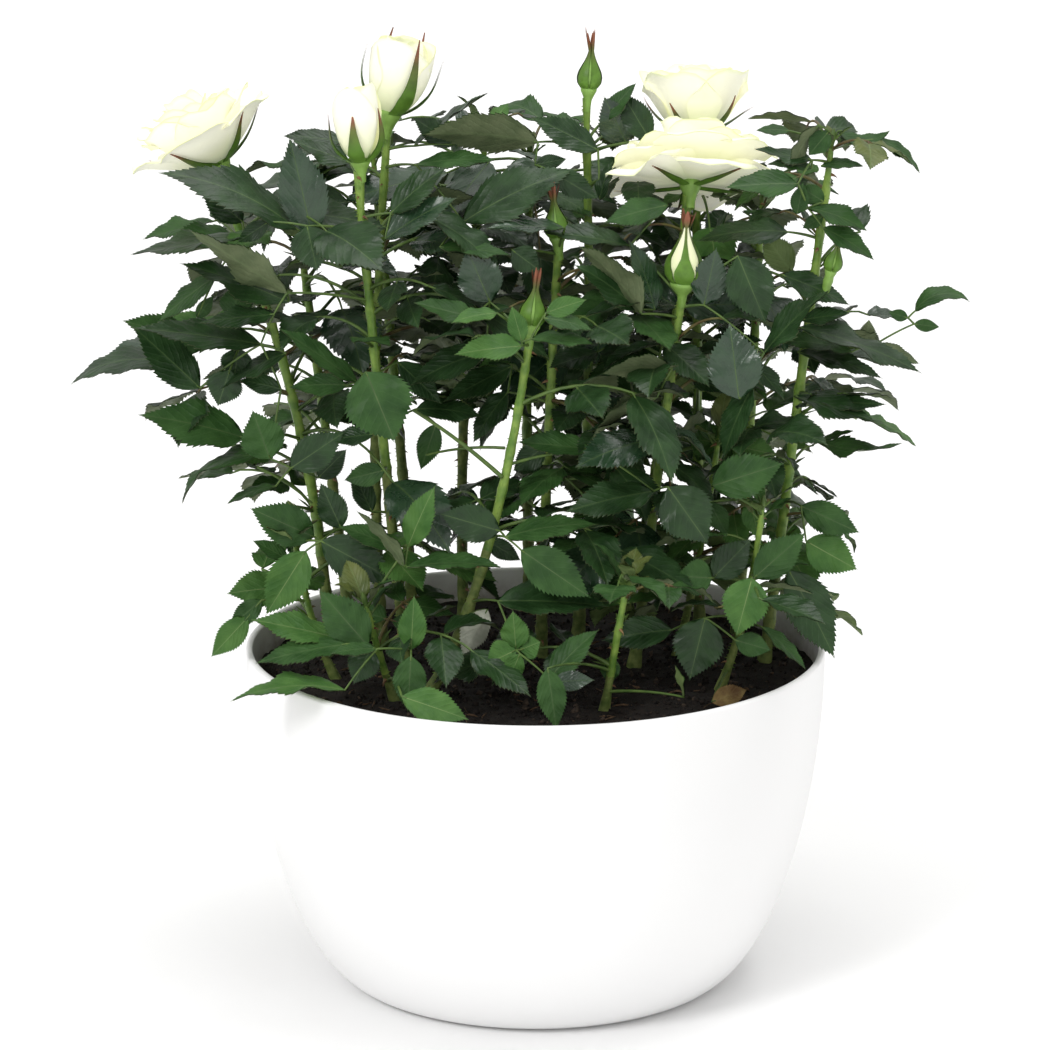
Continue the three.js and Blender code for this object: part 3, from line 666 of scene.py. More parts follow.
# foot, knee, tip, heights of the lowest and topmost leaf, heading of the topmost leaf, size of the leaves
canePlans = {
    "left_outer": ((-76, 24), (-78, 24, 205), (-118, 22, 301), (150, 286), 161, 1),
    "left_front": ((-47, 6), (-55, 2, 200), (-63, -4, 297), (188, 280), 250, 1),
    "left_rear": ((-57, 38), (-62, 34, 200), (-53, 28, 308), (196, 292), 150, 1),
    "left_inner": ((-46, 60), (-50, 64, 190), (-60, 68, 292), (205, 292), 124, 1),
    "centre_front": ((-39, -32), (-15, -30, 150), (-2, -26, 243), (166, 236), 215, 1),
    "centre_rear": ((-27, 66), (-30, 70, 200), (-18, 74, 298), (205, 298), 60, 1),
    "centre_inner": ((2, 20), (4, 14, 190), (8, 8, 268), (170, 258), 310, 1),
    "rear_tall": ((16, 46), (22, 44, 200), (18, 42, 316), (190, 300), 32, 1),
    "middle_right": ((36, 6), (43, 2, 180), (52, -2, 253), (152, 238), 326, 1),
    "right_inner": ((30, 30), (50, 28, 190), (54, 22, 284), (180, 274), 228, 1),
    "right_rear": ((62, 58), (60, 58, 200), (59, 56, 296), (175, 284), 116, 1),
    "right_outer": ((84, 14), (94, 12, 205), (105, 8, 306), (160, 306), 335, 0.74),
    "rear_left": ((-70, 58), (-76, 70, 170), (-88, 78, 258), (175, 258), 130, 1),
    "rear_middle": ((-2, 84), (-4, 92, 180), (-2, 96, 288), (178, 288), 75, 1),
    "rear_right": ((76, 52), (80, 64, 170), (84, 76, 272), (180, 272), 42, 0.86),
    "low_right": ((66, -22), (76, -26, 140), (80, -30, 182), (134, 182), 330, 0.8),
    "low_middle": ((52, 20), (60, 12, 150), (66, 4, 200), (140, 200), 310, 1),
    "low_left": ((-72, -10), (-82, -14, 135), (-86, -18, 168), (128, 168), 181, 0.85),
    "low_front": ((24, -50), (27, -51, 132), (32, -54, 162), (126, 162), 256, 0.8),
    "low_front_left": ((-50, -36), (-54, -38, 124), (-60, -42, 150), (123, 150), 190, 0.8),
}

# kind of head on a cane's stalk, size, reach kept clear, lean and heading of its axis; or the bud's radius and height
headPlans = {
    "left_outer": {
        "node": "bloom_left", "kind": "full", "size": 0.86, "reach": 28, "lean": 24, "toward": 165, "tilt": (31, 172),
        "grow": 1.1, "shift": (7.5, 0, -8.5),
    },
    "right_inner": {
        "node": "bloom_right", "kind": "open", "size": 1.04, "reach": 28, "lean": 6, "toward": 270,
        "tilt": (-27, 270), "shift": (1.5, 0, -1),
    },
    "left_rear": {"node": "bloom_rear_left", "kind": "cup", "size": 1.15, "reach": 15, "lean": 12, "toward": 0},
    "right_rear": {"node": "bloom_rear_right", "kind": "bowl", "size": 1, "reach": 22, "lean": 8, "toward": 100},
    "left_front": {
        "node": "bud_cream", "bud": (8.6, 25), "lean": 4, "toward": 200, "grow": 1.06, "shift": (1.6, 0, 0),
        "stalk": 0.88,
    },
    "middle_right": {"node": "bud_striped", "bud": (6.8, 18), "lean": 3, "toward": 0},
    "rear_tall": {
        "node": "bud_green_top", "bud": (5, 13), "lean": 4, "toward": 20, "shift": (1, 0, 0), "grow": 0.88,
        "stalk": 0.76,
    },
    "centre_front": {"node": "bud_green_front", "bud": (4.8, 11), "lean": 8, "toward": 30},
    "centre_inner": {"node": "bud_green_inner", "bud": (4.4, 11), "lean": 6, "toward": 200},
}
heartPlan = {"petals": 14, "room": 10}


class Cane:
    def __init__(self, name, plan):
        foot, knee, tip, (self.lowest, self.topmost), self.phase, self.size = plan
        self.name = name
        self.foot, self.knee, self.tip = vec(*foot, soilTop + seat), vec(*knee), vec(*tip)
        self.start, self.end = self.shareAt(self.lowest), self.shareAt(self.topmost)
        self.head = headPlans.get(name)
        self.leaves = []

    def at(self, share):
        return self.foot * (1 - share) ** 2 + self.knee * 2 * share * (1 - share) + self.tip * share**2

    def shareAt(self, height):
        a = self.foot[2] - 2 * self.knee[2] + self.tip[2]
        b = 2 * (self.knee[2] - self.foot[2])
        c = self.foot[2] - height
        return min(1, -c / b if abs(a) < 1e-6 else (-b + math.sqrt(b * b - 4 * a * c)) / (2 * a))

    def radiusAt(self, share):
        aboveSoil = self.at(share)[2] - soilTop
        flare = canePlan["flare"] * max(0, 1 - aboveSoil / canePlan["flareHeight"])
        return mix(canePlan["footRadius"], canePlan["tipRadius"], share) + flare


canes = [Cane(name, plan) for name, plan in canePlans.items()]


def bladeOf(base, along, side, plan, size):
    length, half = plan["length"] * size, plan["width"] * size / 2
    up = unit(np.cross(along, side))
    rib = base + along * leafPlan["widestAt"] * length
    margin = rib + up * leafPlan["fold"] * half * 2
    points = np.array([base, margin + side * half, base + along * length, margin - side * half])
    room = {"rib": rib, "up": up, "half": leafPlan["room"]}
    return {"points": points, **room, "at": plan["at"], "length": length, "width": 2 * half}


def compoundLeaf(root, heading, rise, roll, size, pairs, draw):
    reach = leafPlan["rachis"] * size * (1 if len(pairs) > 1 else leafPlan["youngReach"])
    out, bent = headingVector(heading, rise), headingVector(heading, rise - leafPlan["sag"])
    across = turned(headingVector(heading + 90, 0), out, roll)
    bendAt = leafPlan["bendAt"]
    joint = root + out * bendAt * reach
    end = joint + bent * (1 - bendAt) * reach
    rods = [{"points": np.array(ends), "half": leafPlan["rachisRadius"]} for ends in ((root, joint), (joint, end))]

    def place(plan, hand):
        inner = plan["at"] < bendAt
        course, start = (out, root) if inner else (bent, joint)
        point = start + course * (plan["at"] if inner else plan["at"] - bendAt) * reach
        splay = math.radians(plan["splay"]) * hand
        along = course * math.cos(splay) + across * math.sin(splay)
        along[2] -= spread["droop"][0] + spread["droop"][1] * draw()
        along = unit(along)
        level = unit(np.cross(np.cross(course, across), along))
        side = turned(level, along, spread["twist"] * (draw() - 0.5))
        leafletSize = size * (1 + spread["leafletSize"] * (draw() - 0.5))
        return bladeOf(point - along * plan["sunk"], along, side, plan, leafletSize)

    blades = [place(leafPlan["terminal"], 0)]
    for pair in pairs:
        blades += [place(leafPlan[pair], 1), place(leafPlan[pair], -1)]
    return rods, blades


def leafHeight(cane, tier):
    return cane.topmost - leafPlan["endRoom"] - tier * leafPlan["spacing"]


def leafTry(cane, number, tier, attempt):
    draw = seededDraws(number * 1000 + tier * 50 + attempt)
    plan = topLeaf if tier == 0 else sideLeaf
    root = cane.at(cane.shareAt(leafHeight(cane, tier)))
    swing = spread["heading"][0] + spread["heading"][1] * attempt
    heading = cane.phase + leafPlan["turn"] * tier + swing * (draw() - 0.5)
    rise = plan["rise"] + (spread["rise"][0] + spread["rise"][1] * attempt) * (draw() - 0.5)
    roll = spread["roll"] * (draw() - 0.5)
    vigour = (1 + spread["size"] * (draw() - 0.5)) * (1 - spread["shrink"] * attempt)
    return compoundLeaf(root, heading, rise, roll, cane.size * plan["size"] * vigour, plan["pairs"], draw)


class Room:  # what is taken up so far: bars and blades, each with four points, four edges and five faces
    def __init__(self, most=4000):
        self.count = 0
        self.owner = np.full(most, -1)
        self.points, self.edges, self.faces = np.zeros((most, 4, 3)), np.zeros((most, 4, 3)), np.zeros((most, 5, 3))
        self.centre, self.reach, self.half = np.zeros((most, 3)), np.zeros(most), np.zeros(most)

    @staticmethod
    def measured(bit):
        points = bit["points"]
        centre = points.mean(0)
        reach = np.linalg.norm(points - centre, axis=1).max() + bit["half"]
        if len(points) > 2:
            edges = np.roll(points, -1, 0) - points
            faces = np.concatenate([[bit["up"]], np.cross(edges, bit["up"])])
        else:
            edges, faces = np.repeat([points[1] - points[0]], 4, 0), np.zeros((5, 3))
            points = points[[0, 1, 0, 1]]
        return points, edges, faces, centre, reach, bit["half"]

    def take(self, bit, owner):
        i = self.count
        self.points[i], self.edges[i], self.faces[i], self.centre[i], self.reach[i], self.half[i] = self.measured(bit)
        self.owner[i] = owner
        self.count += 1

    def touches(self, bit, spared=-1):
        points, edges, faces, centre, reach, half = self.measured(bit)
        n = self.count
        between = self.centre[:n] - centre
        near = np.linalg.norm(between, axis=1) <= reach + self.reach[:n] + leafPlan["clearance"]
        near = np.nonzero(near & (self.owner[:n] != spared))[0]
        if not len(near):
            return False
        crossed = np.cross(edges[None, :, None], self.edges[near][:, None]).reshape(len(near), 16, 3)
        axes = np.concatenate(
            [between[near][:, None], np.broadcast_to(faces, (len(near), 5, 3)), self.faces[near], crossed], 1,
        )
        lengths = np.linalg.norm(axes, axis=2)
        real = lengths >= 1e-6
        axes = axes / np.where(real, lengths, 1)[..., None]
        first = axes @ points.T
        second = np.einsum("nac,npc->nap", axes, self.points[near])
        gap = np.maximum(second.min(2) - first.max(2), first.min(2) - second.max(2))
        needed = half + self.half[near] + leafPlan["clearance"]
        return bool((~((gap > needed[:, None]) & real).any(1)).any())


def clearOfPlanter(points):
    room = 2
    radius = np.hypot(points[:, 0], points[:, 1])
    outside = (points[:, 2] > planterPlan["height"] + room) | (radius > planterPlan["rimRadius"] + room)
    return bool((outside | ((radius < planterPlan["rimRadius"] - 3 - room) & (points[:, 2] > soilTop + room))).all())


def bitClearOfPlanter(bit):
    points = bit["points"]
    share = np.linspace(0, 1, 9)[:, None]
    blade = len(points) > 2
    spine = mix(points[0], points[2] if blade else points[1], share)
    if not clearOfPlanter(spine):
        return False
    if blade:
        widest = leafPlan["widestAt"]
        width = np.where(share < widest, share / widest, (1 - share) / (1 - widest))
        for edge in (points[1], points[3]):
            reach = (edge - bit["rib"]) * width
            if not clearOfPlanter(spine + reach) or not clearOfPlanter(spine + reach / 2):
                return False
    return True


def takeCane(room, number, cane):
    for i in range(10):
        points = np.array([cane.at(i / 10), cane.at((i + 1) / 10)])
        room.take({"points": points, "half": cane.radiusAt(i / 10) + 0.2}, number)
    head = cane.head
    if not head:
        return
    axis = headingVector(head["toward"], 90 - head["lean"])
    if "bud" in head:
        radius, height = head["bud"]
        points = np.array([cane.tip + axis * 4, cane.tip + axis * (4 + height)])
        room.take({"points": points, "half": radius + 1}, number)
        return
    half = heartPlan["room"] * head["size"]
    middle = cane.tip + axis * heartPlan["petals"] * head["size"]
    room.take({"points": np.array([cane.tip, middle]), "half": half / 2}, number)
    for turn in range(0, 180, 45):
        across = headingVector(turn, 0) * (head["reach"] * head["size"] - half)
        room.take({"points": np.array([middle - across, middle + across]), "half": half}, number)


def growLeaves():
    room = Room()
    for number, cane in enumerate(canes):
        takeCane(room, number, cane)
    rounds = max((cane.topmost - cane.lowest) / leafPlan["spacing"] for cane in canes)
    for tier in range(math.ceil(rounds)):
        for number, cane in enumerate(canes):
            if leafHeight(cane, tier) < cane.lowest + leafPlan["endRoom"]:
                continue
            best = None
            for attempt in range(leafPlan["tries"]):
                rods, blades = leafTry(cane, number, tier, attempt)
                if not bitClearOfPlanter(rods[0]) or room.touches(rods[0], number):
                    continue
                if not bitClearOfPlanter(rods[1]) or room.touches(rods[1]):
                    continue
                kept = [blade for blade in blades if bitClearOfPlanter(blade) and not room.touches(blade)]
                if len(kept) > (len(best["blades"]) if best else 0):
                    best = {"rods": rods, "blades": kept, "top": tier == 0}
                if len(kept) == len(blades):
                    break
            if not best or len(best["blades"]) < leafPlan["fewest"]:
                continue
            for bit in best["rods"] + best["blades"]:
                room.take(bit, number)
            cane.leaves.append(best)
    return room


room = growLeaves()
leafletCount = sum(len(leaf["blades"]) for cane in canes for leaf in cane.leaves)
print("grown:", sum(len(cane.leaves) for cane in canes), "leaves,", leafletCount, "leaflets")


# a leaflet as seen: toothed, with a midrib, side veins and an underside
leafletPlan = {
    "rows": 18, "widest": 0.44, "slant": 0.34, "tooth": 0.13, "ribHalf": 0.022, "pucker": 0.55, "thickness": 0.28,
    "slim": (0.78, 0.98), "stalk": 2.2, "bend": (6, 66), "fold": (0.05, 0.5), "wave": 0.24, "twist": 34, "lift": 0.2,
    "foot": 0.82, "point": 1.06, "column": 0.52, "toothAhead": 0.014, "apex": (0.05, 0.02), "liftScale": 11,
    "twistAt": 0.4,
}


def leafletTemplate():
    plan = leafletPlan
    rows = plan["rows"]
    share = np.linspace(0, 1, rows + 1)
    peak = math.log(0.5) / math.log(plan["widest"])

    def widthAt(t):
        t = np.clip(t, 0, 1)
        fullness = np.where(t < plan["widest"], plan["foot"], plan["point"])
        return np.maximum(0.02, np.sin(np.pi * t**peak).clip(0, 1) ** fullness * 0.95)

    ahead = share + plan["slant"] * share * (1 - share)
    width = widthAt(ahead)
    columns = [-1, -plan["column"], -plan["ribHalf"], plan["ribHalf"], plan["column"], 1]
    along, side, lift = [], [], []
    for column in columns:
        rib = abs(column) < 0.1
        along.append(share if rib else mix(share, ahead, abs(column) ** 1.2))
        side.append(column * (1 - 0.6 * share) if rib else column * width)
        pucker = plan["pucker"] * np.sin(np.arange(rows + 1) * 1.26 + column * 2)
        lift.append(np.full(rows + 1, -0.1) if rib else pucker * width * (1 if abs(column) < 0.9 else 1.6))
    along, side, lift = (np.stack(part, 1) for part in (along, side, lift))
    faces = gridFaces(rows + 1, 6)
    ribFaces = np.tile(np.arange(5) == 2, rows)
    points = np.stack([along, side, lift], -1).reshape(-1, 3)
    count = len(points)
    teeth, apexes = [], []
    for j in range(rows):
        for column, hand in ((0, -1), (5, 1)):
            lower, upper = j * 6 + column, (j + 1) * 6 + column
            far, aside = plan["toothAhead"], hand * plan["tooth"] * (0.3 + 0.7 * width[j])
            if j == rows - 1:
                far, aside = plan["apex"][0], -hand * plan["apex"][1]
            apexes.append(points[upper] + np.array([far, aside, 0]))
            teeth.append([lower, upper, count] if hand < 0 else [upper, lower, count])
            count += 1
    points = np.concatenate([points, np.array(apexes)])
    places = points[:, :2] * np.where(np.abs(points[:, 1:2]) < 0.05, [[1, 0]], [[1, 1]])
    return points, faces, np.array(teeth), ribFaces, places


templatePoints, templateFaces, templateTeeth, templateRib, templatePlaces = leafletTemplate()


def addLeaflet(heap, base, tip, side, width, look, tone, draw):
    plan = leafletPlan
    chord = tip - base
    length = np.linalg.norm(chord)
    along = chord / length
    up = unit(np.cross(along, side))
    bend = math.radians(look["arch"] if "arch" in look else mix(*plan["bend"], draw() ** 1.4) * look.get("bend", 1))
    fold = mix(*plan["fold"], draw()) * look.get("fold", 1)
    curl = fold * (0.35 + 0.5 * draw())
    wave, phase = plan["wave"] * draw(), draw() * 6.3
    twist = math.radians(plan["twist"] * (draw() - 0.5))
    t, x, lift = templatePoints.T
    angle = bend * (0.5 - t)
    stretched = length * (bend / 2) / math.sin(bend / 2)
    ahead = stretched * (math.sin(bend / 2) - np.sin(angle)) / bend
    high = stretched * (np.cos(angle) - math.cos(bend / 2)) / bend
    normal = along * -np.sin(angle)[:, None] + up * np.cos(angle)[:, None]
    half = width / 2
    lateral = x * half
    waves = wave * np.sin(t * 9 + phase + np.sign(x))
    rise = half * (fold * np.abs(x) - curl * x * x + waves * x * x) + lift * half / plan["liftScale"]
    spin = twist * (t - plan["twistAt"])
    lateral, rise = lateral * np.cos(spin) - rise * np.sin(spin), lateral * np.sin(spin) + rise * np.cos(spin)
    sheet = base + along * ahead[:, None] + up * high[:, None] + side * lateral[:, None] + normal * rise[:, None]
    top, under, rib = tone
    faceSlots = np.where(templateRib, rib, top)
    heap.add(sheet, templateFaces, faceSlots, None, templatePlaces)
    heap.faces.extend((templateTeeth + heap.count - len(sheet)).tolist())
    heap.slots.append(np.full(len(templateTeeth), top))
    below = sheet - normal * plan["thickness"]
    heap.add(below, templateFaces[:, underTurn], under, None, templatePlaces)
    heap.faces.extend((templateTeeth[:, ::-1] + heap.count - len(below)).tolist())
    heap.slots.append(np.full(len(templateTeeth), under))


leafSlots = [
    "leafDeep", "leafBlue", "leafMid", "leafFresh", "leafYoung", "underGrey", "underFresh", "ribPale", "leafDry",
    "leafBrown",
]
toneOf = {
    "deep": (0, 5, 7), "blue": (1, 5, 7), "mid": (2, 5, 7), "fresh": (3, 6, 6), "young": (4, 6, 6), "dry": (8, 8, 8),
    "brown": (9, 9, 9), "underGrey": (2, 5, 7), "underFresh": (3, 6, 6),
}
twigSlots = ["caneGreen", "petioleGreen", "petioleRed"]


tonePlan = {
    "topFrom": 262, "youngShare": 0.03, "midShare": 0.5, "fresh": 0.62, "fade": 0.5, "fadeFrom": 140, "fadeOver": 90,
    "freshShare": 0.6, "blueShare": 0.3,
}


def toneFor(height, top, draw):  # fresh leaves low down, deep ones above, a few young ones on top
    plan = tonePlan
    pick = draw()
    if top and height > plan["topFrom"]:
        return "young" if pick < plan["youngShare"] else "mid" if pick < plan["midShare"] else "deep"
    fresh = plan["fresh"] - plan["fade"] * eased((height - plan["fadeFrom"]) / plan["fadeOver"])
    if pick < fresh:
        return "fresh" if pick < fresh * plan["freshShare"] else "mid"
    return "blue" if draw() < plan["blueShare"] else "deep"


stalkPlan = {"steps": 9, "radii": (0.72, 0.42), "flare": 1.5, "red": 0.25, "side": 0.6, "end": 1.6}
wingPlan = ((0, 0.4), (5, 0.5), (8, 2.4), (3.4, 1.7))  # along the stalk and aside


def addCompound(leaves, twigs, leaf, tone, draw):
    steps = stalkPlan["steps"]
    root, joint, end = leaf["rods"][0]["points"][0], leaf["rods"][0]["points"][1], leaf["rods"][1]["points"][1]
    path = curveThrough(root, joint, end, steps, max(blade["at"] for blade in leaf["blades"]))
    reach = np.linalg.norm(end - root)
    radius = mix(*stalkPlan["radii"], np.linspace(0, 1, steps)) * min(1, reach / 40 + 0.25)
    radius[0] *= stalkPlan["flare"]
    twigSlot = 2 if tone == "young" or draw() < stalkPlan["red"] else 1
    addTube(twigs, path, radius, 6, twigSlot)
    out = unit(joint - root)
    across = np.cross(out, vec(0, 0, 1))
    across = unit(across) if np.linalg.norm(across) > 0.1 else vec(1, 0, 0)
    for hand in (1, -1):  # a pair of narrow wings at the foot of the leaf's stalk
        wing = [root + out * far + across * hand * aside for far, aside in wingPlan]
        twigs.add(wing, [[0, 1, 2, 3]], 1)
        twigs.add(np.array(wing) - vec(0, 0, 0.15), [[3, 2, 1, 0]], 1)
    for blade in leaf["blades"]:
        share = blade["at"]
        spot = root * (1 - share) ** 2 + (2 * joint - (root + end) / 2) * 2 * share * (1 - share) + end * share**2
        base, tip = blade["points"][0], blade["points"][2]
        side = unit(blade["points"][1] - blade["points"][3])
        along = unit(tip - base)
        stalk = leafletPlan["stalk"] * stalkPlan["side" if share < 1 else "end"]
        begin = spot + along * stalk
        tip = tip + vec(0, 0, leafletPlan["lift"] * draw() * blade["length"])
        addTube(twigs, [spot, spot + along * stalk * 0.6, begin + along * 1.5], [0.42, 0.4, 0.3], 5, twigSlot)
        width = blade["width"] * mix(*leafletPlan["slim"], draw())
        addLeaflet(leaves, begin, tip + (spot - base) * 0.4, side, width, {}, toneOf[tone], draw)


regions = {
    "Left": ["left_outer", "left_front", "left_rear", "left_inner", "rear_left", "low_left", "low_front_left"],
    "Middle": [
        "centre_front", "centre_rear", "centre_inner", "rear_tall", "rear_middle", "low_front", "middle_right",
    ],
    "Right": ["right_inner", "right_rear", "right_outer", "rear_right", "low_right", "low_middle"],
}
leafHeaps = {region: MeshHeap() for region in regions}
twigHeaps = {region: MeshHeap() for region in regions}
regionOf = {name: region for region, names in regions.items() for name in names}

pictureSize = 1050
eye = vec(*cameraPlan["place"])
sight = unit(vec(*cameraPlan["aim"]) - eye)
sightRight = unit(np.cross(sight, vec(0, 0, 1)))
sightUp = np.cross(sightRight, sight)
focus = cameraPlan["lens"] / cameraPlan["sensor"] * pictureSize


def shownAt(spots):  # where points show in the front view, from its top left corner
    away = spots - eye
    ahead = away @ sight
    right, up = focus * (away @ sightRight) / ahead, focus * (away @ sightUp) / ahead
    return np.stack([pictureSize / 2 + right, pictureSize / 2 - up], -1)


def fromView(spot, depth):  # the point of that depth that shows there
    ray = sight + sightRight * (spot[0] - pictureSize / 2) / focus + sightUp * (pictureSize / 2 - spot[1]) / focus
    return eye + ray * (depth - eye[1]) / ray[1]


# ovals of the front view that stay open: middle, half width and half height
openSky = np.array([
    (128, 205, 45, 32), (136, 290, 32, 27), (146, 470, 52, 20), (200, 543, 46, 46), (190, 600, 32, 34),
    (258, 400, 32, 10), (219, 367, 9, 9), (273, 342, 11, 14), (305, 374, 14, 12), (320, 287, 16, 9),
    (287, 255, 18, 7), (464, 474, 50, 15), (411, 427, 8, 7), (407, 446, 4, 8), (443, 442, 13, 7), (474, 424, 6, 8),
    (354, 498, 12, 12), (358, 455, 11, 6), (905, 232, 34, 48), (880, 288, 26, 20), (957, 355, 35, 24),
    (914, 390, 20, 13), (852, 475, 44, 13), (878, 592, 20, 22), (524, 101, 46, 11), (815, 111, 40, 8),
    (783, 372, 6, 11), (782, 300, 7, 7), (756, 420, 7, 7), (790, 417, 6, 5), (775, 112, 24, 9), (560, 242, 14, 5),
    (545, 152, 9, 6), (415, 158, 6, 6), (432, 147, 8, 5), (470, 146, 14, 7), (492, 157, 12, 5), (510, 163, 9, 4),
    (540, 142, 7, 5), (560, 151, 9, 4), (575, 162, 8, 6), (875, 385, 22, 5), (811, 245, 9, 14), (856, 286, 14, 16),
], float)

